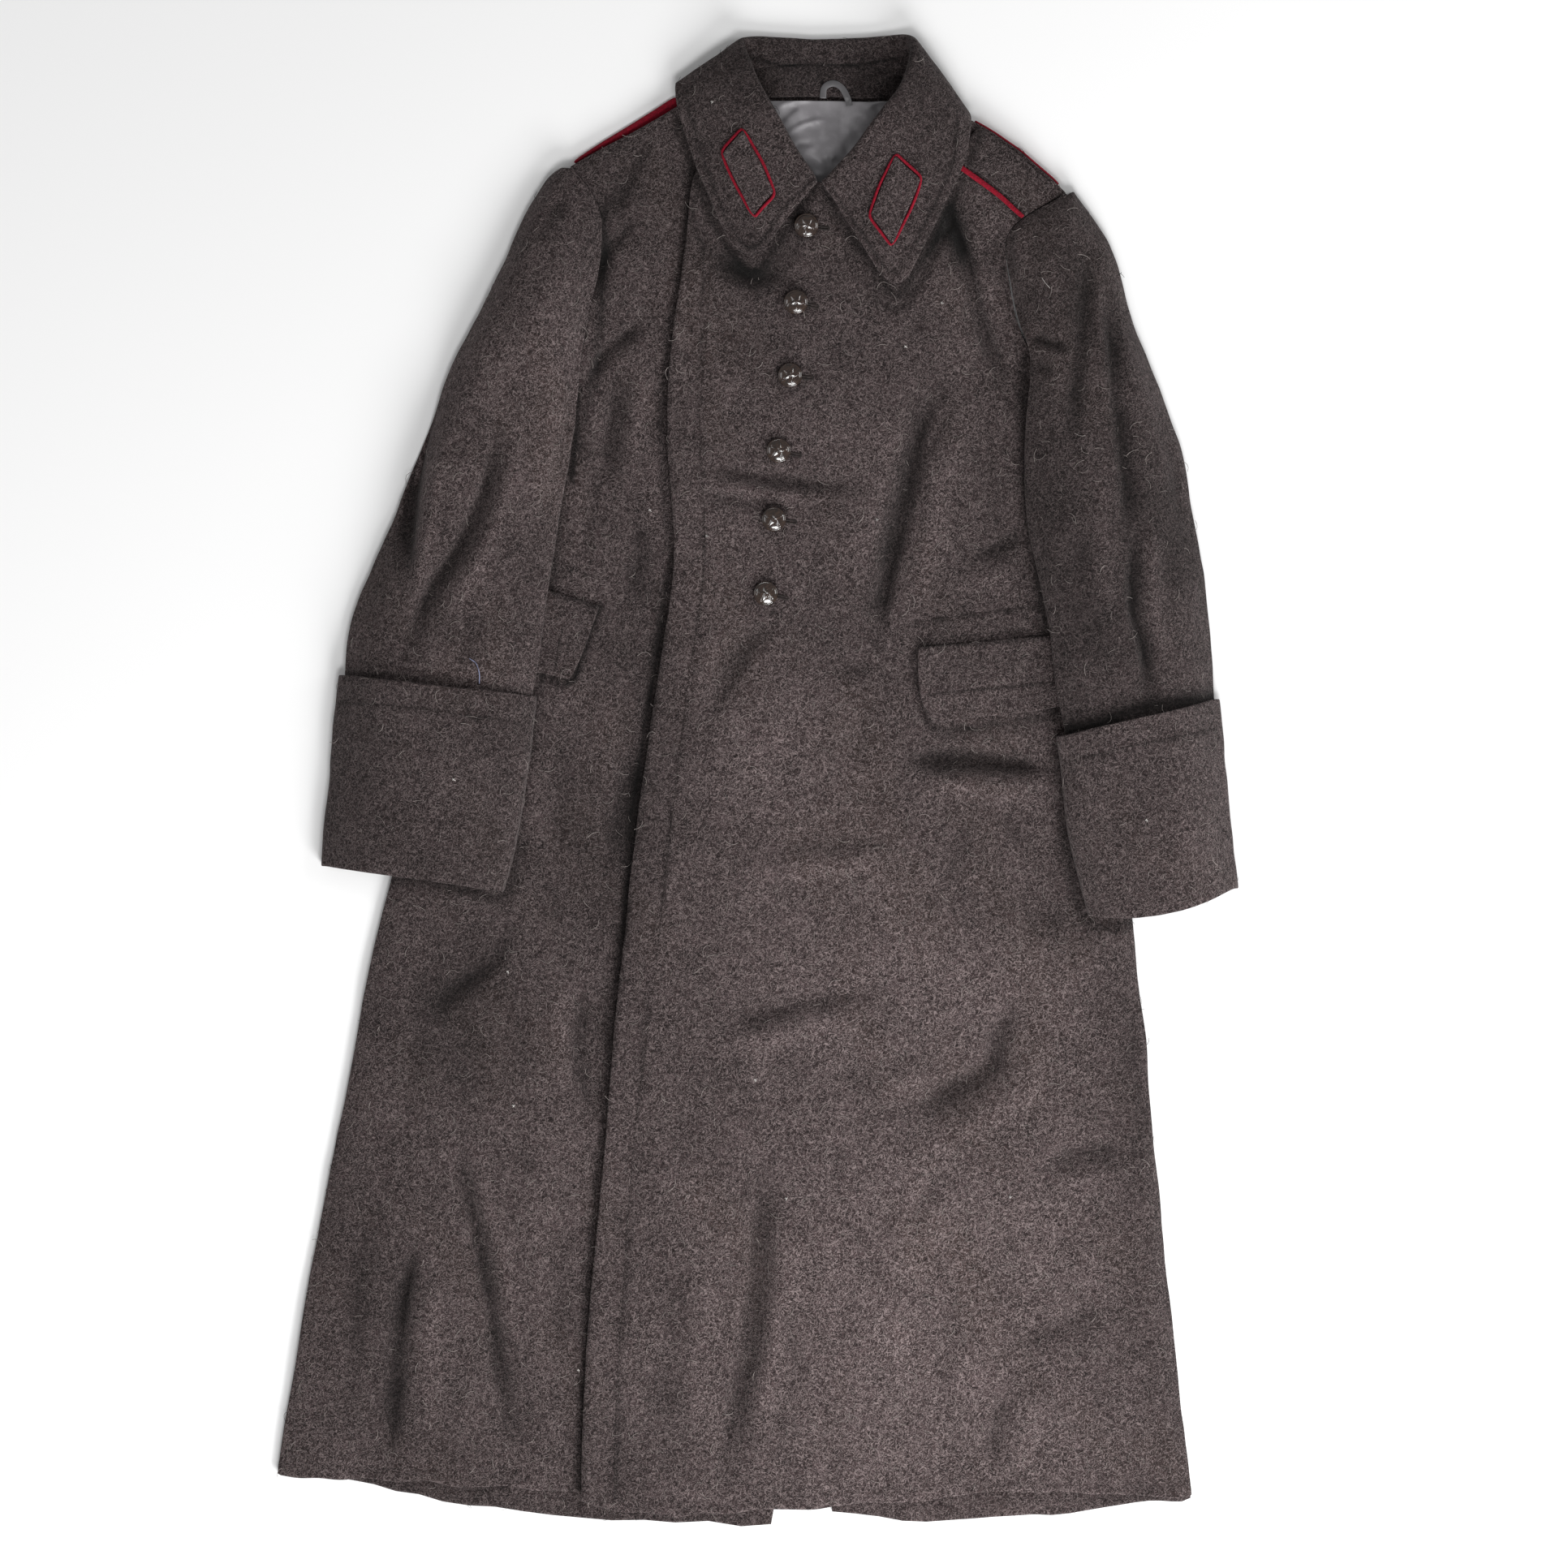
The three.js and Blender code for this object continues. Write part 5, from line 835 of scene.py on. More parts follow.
# The loop's satin, darkened as painted shade
LOOP_SATIN_PAINTED_SHADE = satin_finish("loop_satin_painted_shade", 0.66)
CRIMSON = piping_finish()
BROWN = button_finish()
DARK_THREAD = plain_hair("dark_thread", (42, 34, 32))
PALE_HAIR = plain_hair("pale_hair", (150, 141, 137))
BLACK_HAIR = plain_hair("black_hair", (34, 28, 27))
WHITE_LINT = plain_hair("white_lint", (205, 200, 196))
BLUE_THREAD = plain_hair("blue_thread", (140, 146, 176))


# Cloth shells
def finished(name, mesh, material):
    """Puts a mesh on the coat as a piece of its own."""
    piece = bpy.data.objects.new(name, mesh)
    bpy.context.scene.collection.objects.link(piece)
    mesh.materials.clear()
    mesh.materials.append(material)
    mesh.shade_smooth()
    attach(piece, "root")
    return piece


def evaluated(piece):
    """The piece's mesh with its modifiers worked in, as a plain mesh."""
    bpy.context.view_layer.update()
    graph = bpy.context.evaluated_depsgraph_get()
    return bpy.data.meshes.new_from_object(piece.evaluated_get(graph))


# Points nearer than this are welded; two triangles as flat and as square as this make one quad; an edge
# sharper than this is a rim
WELD = 1e-5
FLAT = math.radians(38)
SQUARE = math.radians(75)
SHARP = math.radians(50)


def panel_mesh(node, levels, crease):
    """A welded copy of a solid, in quads, made smooth between its creased rims."""
    work = bmesh.new()
    work.from_mesh(NODES[node].data)
    bmesh.ops.remove_doubles(work, verts=work.verts, dist=WELD)
    bmesh.ops.join_triangles(
        work, faces=work.faces, angle_face_threshold=FLAT, angle_shape_threshold=SQUARE
    )
    bmesh.ops.recalc_face_normals(work, faces=work.faces)
    mark = work.edges.layers.float.new("crease_edge")
    for edge in work.edges:
        if len(edge.link_faces) == 2 and edge.calc_face_angle() > SHARP:
            edge[mark] = crease
    mesh = bpy.data.meshes.new(node + "_work")
    work.to_mesh(mesh)
    work.free()
    holder = bpy.data.objects.new(node + "_work", mesh)
    bpy.context.scene.collection.objects.link(holder)
    soft = holder.modifiers.new("soft", "SUBSURF")
    soft.levels = soft.render_levels = levels
    fine = evaluated(holder)
    bpy.data.objects.remove(holder)
    return fine


def coordinates(mesh):
    co = np.zeros(len(mesh.vertices) * 3)
    mesh.vertices.foreach_get("co", co)
    return co.reshape(-1, 3)


SEAM_CLOSE = 0.00055


def close_seams(mesh, co):
    """Moves each rim out sideways by a hair, so that panels sewn edge to edge meet."""
    normals = np.zeros(len(mesh.vertices) * 3)
    mesh.vertices.foreach_get("normal", normals)
    co[:, :2] += normals.reshape(-1, 3)[:, :2] * SEAM_CLOSE
    return co


def set_coordinates(mesh, co):
    mesh.vertices.foreach_set("co", wander(co).ravel())
    mesh.update()


# Painted light and shade from the folds: how much lighter the nap is painted for each metre of rise, and by
# how much at most, darker and lighter
CREST_PAINTED_LIGHT = 38.0
CREST_PAINTED_LIGHT_LIMITS = (-0.25, 0.14)
NAP_GROUND = 0.372
BUTTON_RADIUS = 0.0105
BUTTON_COUNT = 6
BUTTON_SHADE_REACH = BUTTON_RADIUS * 1.25

EDGE_LINES = [(Line(shade.through, 5), shade) for shade in EDGE_SHADES]


def edge_shade(node, x, y):
    """How much painted shade darkens a piece beside the edges that lie on it, and along its seams and
    stitching.
    """
    darker = np.zeros(len(x))
    for line, shade in EDGE_LINES:
        if node not in shade.on:
            continue
        reach = 3 * shade.wide * MM
        low, high = line.points.min(0) - reach, line.points.max(0) + reach
        near = (x > low[0]) & (x < high[0]) & (y > low[1]) & (y < high[1])
        share, side, away = line.nearest(x[near], y[near])
        faded = np.exp(-((away / (shade.wide * MM)) ** 2))
        darker[near] = np.maximum(darker[near], SHADE_DEPTH * shade.darker * faded)
    return darker


def paint_tone_and_shade(mesh, node, co, rise, extra):
    """Writes nap tone with painted light and shade at each point: crests lighter, troughs, edges and buttons
    darker.
    """
    x, y = co[:, 0], co[:, 1]
    # Painted shade beside edges, from the edge lines
    light = np.full(len(co), NAP_GROUND + extra) - edge_shade(node, x, y)
    # Painted shade round each button
    if node == "front_left":
        for k in range(1, BUTTON_COUNT + 1):
            low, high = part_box(f"button_{k}")
            away = np.hypot(x - (low.x + high.x) / 2, y - (low.y + high.y) / 2)
            light -= BUTTON_SHADE * np.exp(-((away / BUTTON_SHADE_REACH) ** 4))
    scale = MM_PER_PIXEL * MM
    # Painted light and shade, with some nap tone, from the patches
    for patch in NAP_AND_LIGHT_PATCHES:
        cx, cy = place(patch.x, patch.y)
        away = ((x - cx) / (patch.wide * scale)) ** 2 + ((y - cy) / (patch.high * scale)) ** 2
        light += patch.lighter * np.exp(-away)
    light += grained(x, y, NAP_GRAIN)
    # Painted light on the crests and painted shade in the troughs of the folds
    light += np.clip(rise * CREST_PAINTED_LIGHT, *CREST_PAINTED_LIGHT_LIMITS)
    # The attribute holds nap tone and painted light and shade
    layer = mesh.attributes.new("nap", "FLOAT", "POINT")
    layer.data.foreach_set("value", np.clip(light, 0, 1).astype(np.float32))


# Each panel: its solid, levels of smoothing, how sharp its rims stay, how it rises and how much lighter
# its nap is
Panel = namedtuple("Panel", "node levels crease height extra")
RIM = 0.92
ROUND_RIM = 0.3
LEVELS = 3
WOOL_PANELS = [
    Panel("back_right", 2, RIM, back_height, -0.10),
    Panel("back_left", 2, RIM, back_height, -0.10),
    Panel("front_right", LEVELS, RIM, body_height, 0.0),
    Panel("front_left", LEVELS, RIM, body_height, 0.0),
    Panel("sleeve_right_under", 2, RIM, None, -0.05),
    Panel("sleeve_left_under", 2, RIM, None, -0.05),
    Panel("sleeve_right_top", LEVELS, RIM, right_sleeve_height, 0.0),
    Panel("sleeve_left_top", LEVELS, RIM, left_sleeve_height, -0.12),
    Panel("cuff_right", LEVELS, RIM, "cuff", -0.06),
    Panel("cuff_left", LEVELS, RIM, "cuff", -0.02),
    Panel("collar", 2, RIM, "collar", -0.05),
    Panel("collar_stand", 2, RIM, None, -0.10),
    Panel("tab_right", 2, RIM, "collar", -0.02),
    Panel("tab_left", 2, RIM, "collar", 0.0),
    Panel("board_left", 2, RIM, body_height, -0.04),
    Panel("board_right", 2, RIM, None, -0.06),
    Panel("flap_left", 3, RIM, body_height, 0.02),
    Panel("flap_right", 3, RIM, body_height, -0.04),
]


# Heights in metres between which a cuff or a collar leaf turns from its lower to its upper side
CUFF_UPPER = (0.018, 0.028)
COLLAR_UPPER = (0.015, 0.022)


def cuff_height(co):
    """A cuff's upper side is a little uneven; its lower side lies still."""
    x, y = co[:, 0], co[:, 1]
    return (cuff_folds(x, y) + grained(x, y, CUFF_GRAIN)) * smooth(*CUFF_UPPER, co[:, 2])


def collar_height(co):
    """The collar leaves, and what lies on them, are a little uneven on top."""
    return grained(co[:, 0], co[:, 1], COLLAR_GRAIN) * smooth(*COLLAR_UPPER, co[:, 2])


surfaces = {}
for panel in WOOL_PANELS:
    mesh = panel_mesh(panel.node, panel.levels, panel.crease)
    co = close_seams(mesh, coordinates(mesh))
    rise = np.zeros(len(co))
    if panel.height == "cuff":
        rise = cuff_height(co)
    elif panel.height == "collar":
        rise = collar_height(co)
    elif panel.height:
        rise = panel.height(co[:, 0], co[:, 1])
    co[:, 2] = np.maximum(co[:, 2] + rise, 0.0)
    set_coordinates(mesh, co)
    paint_tone_and_shade(mesh, panel.node, co, rise, panel.extra)
    piece = finished(panel.node + "_wool", mesh, WOOL)
    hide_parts(panel.node)
    surfaces[panel.node] = piece

# How much deeper the lining's creases are made, and how far at most they sink and rise
LINING_GAIN = 1.5
LINING_LIMITS = (-0.0015, 0.0034)
lining_mesh = panel_mesh("lining", 3, RIM)
co = coordinates(lining_mesh)
crumple = lining_folds(co[:, 0], co[:, 1]) * LINING_GAIN + grained(co[:, 0], co[:, 1], LINING_GRAIN)
co[:, 2] += np.clip(crumple, *LINING_LIMITS)
set_coordinates(lining_mesh, co)
lining = finished("lining_satin", lining_mesh, SATIN)
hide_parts("lining")

loop_mesh = panel_mesh("hanger_loop", 2, RIM)
set_coordinates(loop_mesh, coordinates(loop_mesh))
hanger_loop = finished("hanger_loop_satin", loop_mesh, LOOP_SATIN_PAINTED_SHADE)
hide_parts("hanger_loop")

for node in (
    "tab_piping_right",
    "tab_piping_left",
    "board_left_inner_piping",
    "board_left_shoulder_piping",
    "board_right_piping",
):
    mesh = panel_mesh(node, 2, ROUND_RIM)
    co = coordinates(mesh)
    if node == "board_left_inner_piping":
        co[:, 2] += body_height(co[:, 0], co[:, 1])
    elif node.startswith("tab_piping"):
        co[:, 2] += collar_height(co)
    set_coordinates(mesh, co)
    piece = finished(node + "_crimson", mesh, CRIMSON)
    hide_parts(node)


# Buttons
# The star's arms, and its tips and valleys as shares of the button's radius
STAR_ARMS = 5
STAR_TIP = 0.78
STAR_VALLEY = 0.32
STAR_RISE = 0.0007
STAR_GROOVE = 0.00030
GROOVE_WIDE = 0.07

# The button's foot and rim as shares of its radius, with their heights in millimetres
BUTTON_FOOT = [(0.80, -2.6), (0.93, -2.6), (1.0, -1.6), (1.0, -0.7), (0.975, -0.15)]
BUTTON_RINGS = 34
BUTTON_SIDES = 80
DOME_EDGE = 0.95
DOME_RISE = 0.0042
RIM_GROOVE_AT = 0.86
RIM_GROOVE = 0.0005
BUTTON_FOOT_DEPTH = 0.0026
BUTTON_CLEAR = 0.0003


def star_relief(radius, angle):
    """Height of the star above the dome at shares of the radius: five ridged arms, cut in round them."""
    sector = math.pi / STAR_ARMS
    off = abs((angle % (2 * sector)) - sector)
    edge = STAR_TIP * STAR_VALLEY * math.sin(sector) / (
        STAR_VALLEY * math.sin(sector - off) + STAR_TIP * math.sin(off)
    )
    depth = (edge - radius) / edge
    near = radius < STAR_TIP + 0.05
    groove = -STAR_GROOVE * math.exp(-((depth / GROOVE_WIDE) ** 2)) if near else 0.0
    if depth <= 0:
        return groove
    return groove + STAR_RISE * depth ** 0.7 * (1 - 0.55 * off / sector)


def button_mesh(node):
    """A moulded button: flat foot, round rim, low dome with a groove round it and a star."""
    solid = coordinates(NODES[node].data)
    low, high = solid.min(0), solid.max(0)
    flat_co = solid - solid.mean(0)
    values, axes = np.linalg.eigh(flat_co.T @ flat_co)
    up = Vector(axes[:, 0])
    if up.z < 0:
        up.negate()
    centre = Vector((low + high) / 2)
    rings, around, foot = BUTTON_RINGS, BUTTON_SIDES, len(BUTTON_FOOT)
    work = bmesh.new()
    grid = []
    turn = 2 * math.pi * (int(node[-1]) * 0.37 % 1)
    for i in range(rings + 1):
        row = []
        for k in range(around):
            angle = 2 * math.pi * k / around
            if i < foot:
                radius, z = BUTTON_FOOT[i][0], BUTTON_FOOT[i][1] * MM
            else:
                radius = DOME_EDGE * (1 - (i - foot) / (rings - foot)) ** 0.9
                dome = math.sqrt(max(0.0, 1 - (radius * 0.9) ** 2)) - math.sqrt(1 - 0.9**2)
                z = DOME_RISE * dome + 0.0001
                z -= RIM_GROOVE * math.exp(-(((radius - RIM_GROOVE_AT) / 0.03) ** 2))
                z += star_relief(max(radius, 0.001), angle + turn)
            out = radius * BUTTON_RADIUS
            row.append(work.verts.new((out * math.cos(angle), out * math.sin(angle), z)))
        grid.append(row)
    for a, b in zip(grid, grid[1:]):
        for k in range(around):
            work.faces.new((a[k], a[(k + 1) % around], b[(k + 1) % around], b[k]))
    work.faces.new(list(reversed(grid[0])))
    bmesh.ops.remove_doubles(work, verts=work.verts, dist=1e-6)
    bmesh.ops.recalc_face_normals(work, faces=work.faces)
    lift = float(body_height(np.array([centre.x]), np.array([centre.y]))[0])
    seat = Vector((centre.x, centre.y, low[2] + BUTTON_FOOT_DEPTH + lift + BUTTON_CLEAR))
    tilt = Vector((0, 0, 1)).rotation_difference(up).to_matrix().to_4x4()
    work.transform(Matrix.Translation(seat) @ tilt)
    mesh = bpy.data.meshes.new(node)
    work.to_mesh(mesh)
    work.free()
    return mesh


for k in range(1, BUTTON_COUNT + 1):
    node = f"button_{k}"
    piece = finished(f"button_{k}_moulded", button_mesh(node), BROWN)
    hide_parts(node)


# What lies on the cloth
def ground_of(*names):
    """Finds the height of the highest of some pieces at a place."""
    trees = []
    for name in names:
        mesh = surfaces[name].data
        points = [v.co.copy() for v in mesh.vertices]
        trees.append(BVHTree.FromPolygons(points, [tuple(p.vertices) for p in mesh.polygons]))

    def height(x, y):
        best, facing = None, None
        for tree in trees:
            hit, normal, _, _ = tree.ray_cast(Vector((x, y, 0.2)), Vector((0, 0, -1)))
            if hit and (best is None or hit.z > best):
                best, facing = hit.z, normal
        return best, facing

    return height


# Along a short thread: the share of its length, its thickness and its height, both as shares of its radius
THREAD_SHAPE = [(-0.5, 0.35, -0.9), (-0.3, 1.0, 0.0), (0.0, 1.05, 0.25), (0.3, 1.0, 0.0), (0.5, 0.35, -0.9)]


def capsule(work, centre, along, up, length, radius, sides=5):
    """One stitch: a short rounded thread lying on the cloth, its ends going into it."""
    across = up.cross(along).normalized()
    rows = []
    for share, size, dip in THREAD_SHAPE:
        middle = centre + along * (share * length) + up * (dip * radius)
        rows.append(
            [
                work.verts.new(
                    middle
                    + across * (math.cos(2 * math.pi * k / sides) * radius * size)
                    + up * (math.sin(2 * math.pi * k / sides) * radius * size)
                )
                for k in range(sides)
            ]
        )
    for a, b in zip(rows, rows[1:]):
        for k in range(sides):
            work.faces.new((a[k], a[(k + 1) % sides], b[(k + 1) % sides], b[k]))
    work.faces.new(list(reversed(rows[0])))
    work.faces.new(rows[-1])


STITCH_PITCH = 0.0042
STITCH_LENGTH = 0.0030
STITCH_RADIUS = 0.00034
STITCH_AHEAD = 0.0008


def stitch_rows():
    """Rows of stitches along the pressed lines."""
    work = bmesh.new()
    for row in STITCH_ROWS:
        ground = ground_of(row.on)
        line = Line(row.through)
        for reach in np.arange(STITCH_PITCH / 2, line.length, STITCH_PITCH):
            x, y = line.at(reach)
            ahead = line.at(reach + STITCH_AHEAD)
            z, up = ground(x, y)
            z2, _ = ground(*ahead)
            if z is None or z2 is None:
                continue
            along = Vector((ahead[0] - x, ahead[1] - y, z2 - z)).normalized()
            centre = Vector((x, y, z + STITCH_RADIUS * 0.25))
            capsule(work, centre, along, up, STITCH_LENGTH, STITCH_RADIUS)
    bmesh.ops.recalc_face_normals(work, faces=work.faces)
    mesh = bpy.data.meshes.new("top_stitching")
    work.to_mesh(mesh)
    work.free()
    finished("top_stitching", mesh, DARK_THREAD)


stitch_rows()

# Buttonholes: worked slits that run to the viewer's right from under each button
BUTTONHOLE_LENGTH = 0.0125
BUTTONHOLE_GAP = 0.0011
BUTTONHOLE_BELOW = 0.0012
SIDE_THREADS = 40
END_THREADS = 9
END_REACH = (0.0012, 0.0014)
HOLE_THREAD_LENGTH = 0.0020
HOLE_THREAD_RADIUS = 0.00032
HOLE_THREAD_LIFT = 0.0001


def buttonholes():
    """Threads side by side along both lips of each slit and round its end."""
    work = bmesh.new()
    ground = ground_of("front_left")
    for k in range(1, BUTTON_COUNT + 1):
        low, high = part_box(f"button_{k}")
        cx, cy = (low.x + high.x) / 2, (low.y + high.y) / 2
        start = cx + BUTTON_RADIUS * 0.55
        lean = -0.10 if k % 2 else -0.22
        for i in range(SIDE_THREADS):
            t = i / (SIDE_THREADS - 1)
            for side in (-1, 1):
                x = start + t * BUTTONHOLE_LENGTH
                y = cy - BUTTONHOLE_BELOW + lean * t * BUTTONHOLE_LENGTH + side * BUTTONHOLE_GAP
                z, up = ground(x, y)
                if z is None:
                    continue
                along = Vector((0.15 * side, 1, 0)).normalized()
                centre = Vector((x, y, z + HOLE_THREAD_LIFT))
                capsule(work, centre, along, up, HOLE_THREAD_LENGTH, HOLE_THREAD_RADIUS)
        for i in range(END_THREADS):
            angle = math.pi * (i / (END_THREADS - 1) - 0.5)
            x = start + BUTTONHOLE_LENGTH + END_REACH[0] * math.cos(angle)
            y = cy - BUTTONHOLE_BELOW + lean * BUTTONHOLE_LENGTH + END_REACH[1] * math.sin(angle)
            z, up = ground(x, y)
            if z is None:
                continue
            along = Vector((math.cos(angle), math.sin(angle), 0))
            centre = Vector((x, y, z + HOLE_THREAD_LIFT))
            capsule(work, centre, along, up, HOLE_THREAD_LENGTH, HOLE_THREAD_RADIUS)
    bmesh.ops.recalc_face_normals(work, faces=work.faces)
    mesh = bpy.data.meshes.new("buttonholes")
    work.to_mesh(mesh)
    work.free()
    finished("buttonholes", mesh, DARK_THREAD)


buttonholes()


LOOSE_LIFT = 0.0004


def thread_piece(name, places, on, radius, material):
    """One loose thread or hair lying on a piece."""
    ground = ground_of(on)
    line = Line(places, 6)
    curve = bpy.data.curves.new(name, "CURVE")
    curve.dimensions = "3D"
    curve.bevel_depth = radius
    curve.bevel_resolution = 1
    spline = curve.splines.new("POLY")
    points = []
    for x, y in line.points:
        z, _ = ground(x, y)
        if z is not None:
            points.append((x, y, z + LOOSE_LIFT, 1))
    spline.points.add(len(points) - 1)
    for point, co in zip(spline.points, points):
        point.co = co
    holder = bpy.data.objects.new(name + "_curve", curve)
    bpy.context.scene.collection.objects.link(holder)
    mesh = evaluated(holder)
    bpy.data.objects.remove(holder)
    finished(name, mesh, material)


LOOSE_THREAD = [(580, 812), (588, 818), (592, 830), (592, 843)]
LOOSE_HAIR = [(1283, 344), (1287, 350), (1293, 357)]
thread_piece("loose_thread", LOOSE_THREAD, "sleeve_right_top", 0.00034, BLUE_THREAD)
thread_piece("loose_hair", LOOSE_HAIR, "sleeve_left_top", 0.00022, WHITE_LINT)


# Stray hairs
def tree_node(tree, kind, settings=None, inputs=None):
    """A node of a tree, with its settings and with its inputs linked or set."""
    made = tree.nodes.new(kind)
    for key, value in (settings or {}).items():
        setattr(made, key, value)
    for key, value in (inputs or {}).items():
        if isinstance(value, bpy.types.NodeSocket):
            tree.links.new(value, made.inputs[key])
        else:
            made.inputs[key].default_value = value
    return made


# How far the three kinds of hair bend, how far they lean off the cloth in radians, and their sizes
HAIR_BENDS = (0.18, -0.3, 0.45)
HAIR_LEAN = 0.22
FULL_TURN = 6.2832
SMALLEST_HAIR = 0.5
LARGEST_HAIR = 1.4


def hair_tree(material):
    """Short curled hairs strewn over a surface, lying nearly flat on it."""
    tree = bpy.data.node_groups.new("strewn_hairs", "GeometryNodeTree")
    for name, kind, value in (
        ("Geometry", "NodeSocketGeometry", None),
        ("Hairs per square metre", "NodeSocketFloat", 6000.0),
        ("Length", "NodeSocketFloat", 0.007),
        ("Thickness", "NodeSocketFloat", 0.0001),
        ("Seed", "NodeSocketInt", 1),
    ):
        socket = tree.interface.new_socket(name, in_out="INPUT", socket_type=kind)
        if value is not None:
            socket.default_value = value
    tree.interface.new_socket("Geometry", in_out="OUTPUT", socket_type="NodeSocketGeometry")
    start = tree.nodes.new("NodeGroupInput").outputs
    points = tree_node(
        tree,
        "GeometryNodeDistributePointsOnFaces",
        {"distribute_method": "RANDOM"},
        {"Mesh": start["Geometry"], "Density": start["Hairs per square metre"], "Seed": start["Seed"]},
    )
    shapes = tree.nodes.new("GeometryNodeJoinGeometry")
    section = tree_node(
        tree,
        "GeometryNodeCurvePrimitiveCircle",
        {"mode": "RADIUS"},
        {"Resolution": 3, "Radius": start["Thickness"]},
    )
    length = start["Length"]
    for bend in HAIR_BENDS:
        hair = tree_node(
            tree,
            "GeometryNodeCurveQuadraticBezier",
            None,
            {
                "Resolution": 4,
                "Start": (-0.5, 0, 0),
                "Middle": (0.05, bend * 1.6, 0.05),
                "End": (0.5, bend * 0.3, 0.02),
            },
        )
        sized = tree_node(tree, "GeometryNodeTransform", None, {"Geometry": hair.outputs["Curve"]})
        size = tree_node(tree, "ShaderNodeCombineXYZ", None, {"X": length, "Y": length, "Z": length})
        tree.links.new(size.outputs[0], sized.inputs["Scale"])
        thick = tree_node(
            tree,
            "GeometryNodeCurveToMesh",
            None,
            {"Curve": sized.outputs["Geometry"], "Profile Curve": section.outputs["Curve"]},
        )
        single = tree_node(tree, "GeometryNodeGeometryToInstance", None, {"Geometry": thick.outputs["Mesh"]})
        tree.links.new(single.outputs[0], shapes.inputs[0])
    spin = tree_node(
        tree,
        "FunctionNodeRandomValue",
        {"data_type": "FLOAT_VECTOR"},
        {0: (-HAIR_LEAN, -HAIR_LEAN, 0.0), 1: (HAIR_LEAN, HAIR_LEAN, FULL_TURN), "Seed": start["Seed"]},
    )
    turned = tree_node(
        tree,
        "FunctionNodeRotateRotation",
        {"rotation_space": "LOCAL"},
        {"Rotation": points.outputs["Rotation"], "Rotate By": spin.outputs[0]},
    )
    size = tree_node(
        tree,
        "FunctionNodeRandomValue",
        {"data_type": "FLOAT"},
        {2: SMALLEST_HAIR, 3: LARGEST_HAIR, "Seed": start["Seed"]},
    )
    strewn = tree_node(
        tree,
        "GeometryNodeInstanceOnPoints",
        None,
        {
            "Points": points.outputs["Points"],
            "Instance": shapes.outputs[0],
            "Pick Instance": True,
            "Rotation": turned.outputs[0],
            "Scale": size.outputs[1],
        },
    )
    real = tree_node(tree, "GeometryNodeRealizeInstances", None, {"Geometry": strewn.outputs["Instances"]})
    coated = tree_node(
        tree, "GeometryNodeSetMaterial", None, {"Geometry": real.outputs["Geometry"], "Material": material}
    )
    end = tree.nodes.new("NodeGroupOutput")
    tree.links.new(coated.outputs["Geometry"], end.inputs[0])
    return tree


# Hairs lie on faces that look up at least this much, no lower than this, and are this thick
HAIRY_FROM = 0.2
LOWEST_HAIR = 0.0002
STRAY_RADIUS = 0.00017
HAIRY_PANELS = (
    "front_left",
    "front_right",
    "sleeve_right_top",
    "sleeve_left_top",
    "cuff_right",
    "cuff_left",
    "collar",
    "flap_left",
    "flap_right",
    "board_left",
    "back_right",
    "back_left",
)


def strew_hairs(name, material, density, length, seed):
    """Joins the wool that shows, strews hairs on its upper sides and keeps only the hairs."""
    work = bmesh.new()
    for node in HAIRY_PANELS:
        work.from_mesh(surfaces[node].data)
    bmesh.ops.recalc_face_normals(work, faces=work.faces)
    turned_down = [face for face in work.faces if face.normal.z < HAIRY_FROM]
    bmesh.ops.delete(work, geom=turned_down, context="FACES")
    mesh = bpy.data.meshes.new(name + "_ground")
    work.to_mesh(mesh)
    work.free()
    holder = bpy.data.objects.new(name + "_ground", mesh)
    bpy.context.scene.collection.objects.link(holder)
    tree = hair_tree(material)
    grow = holder.modifiers.new("hairs", "NODES")
    grow.node_group = tree
    values = {"Hairs per square metre": density, "Length": length, "Thickness": STRAY_RADIUS, "Seed": seed}
    for item in tree.interface.items_tree:
        if item.item_type == "SOCKET" and item.in_out == "INPUT" and item.name in values:
            grow[item.identifier] = values[item.name]
    hairs = evaluated(holder)
    co = coordinates(hairs)
    co[:, 2] = np.maximum(co[:, 2], LOWEST_HAIR)
    hairs.vertices.foreach_set("co", co.ravel())
    hairs.update()
    bpy.data.objects.remove(holder)
    finished(name, hairs, material)


strew_hairs("pale_stray_hairs", PALE_HAIR, density=2600.0, length=0.0088, seed=3)
strew_hairs("dark_stray_hairs", BLACK_HAIR, density=1900.0, length=0.0078, seed=8)


# Lint
LINT_GROUND = (
    "front_left",
    "front_right",
    "sleeve_right_top",
    "sleeve_left_top",
    "cuff_left",
    "cuff_right",
    "collar",
)
LINT_RADIUS = 0.00028
LINT_LIFT = 0.0003


def lint_specks():
    """Each speck is three short crossed hairs."""
    work = bmesh.new()
    ground = ground_of(*LINT_GROUND)
    for i, speck in enumerate(LINT):
        x, y = place(*speck)
        z, up = ground(x, y)
        if z is None:
            continue
        for k in range(3):
            angle = 2.4 * i + 1.9 * k
            along = Vector((math.cos(angle), math.sin(angle), 0.1)).normalized()
            centre = Vector((x + 0.0004 * k, y - 0.0003 * k, z + LINT_LIFT))
            capsule(work, centre, along, up, 0.0022 + 0.0006 * k, LINT_RADIUS)
    bmesh.ops.recalc_face_normals(work, faces=work.faces)
    mesh = bpy.data.meshes.new("lint_specks")
    work.to_mesh(mesh)
    work.free()
    finished("lint_specks", mesh, WHITE_LINT)


lint_specks()


# Floor, lights and camera
FLOOR_HALF = 6.0
FLOOR_LEVEL = -0.0004


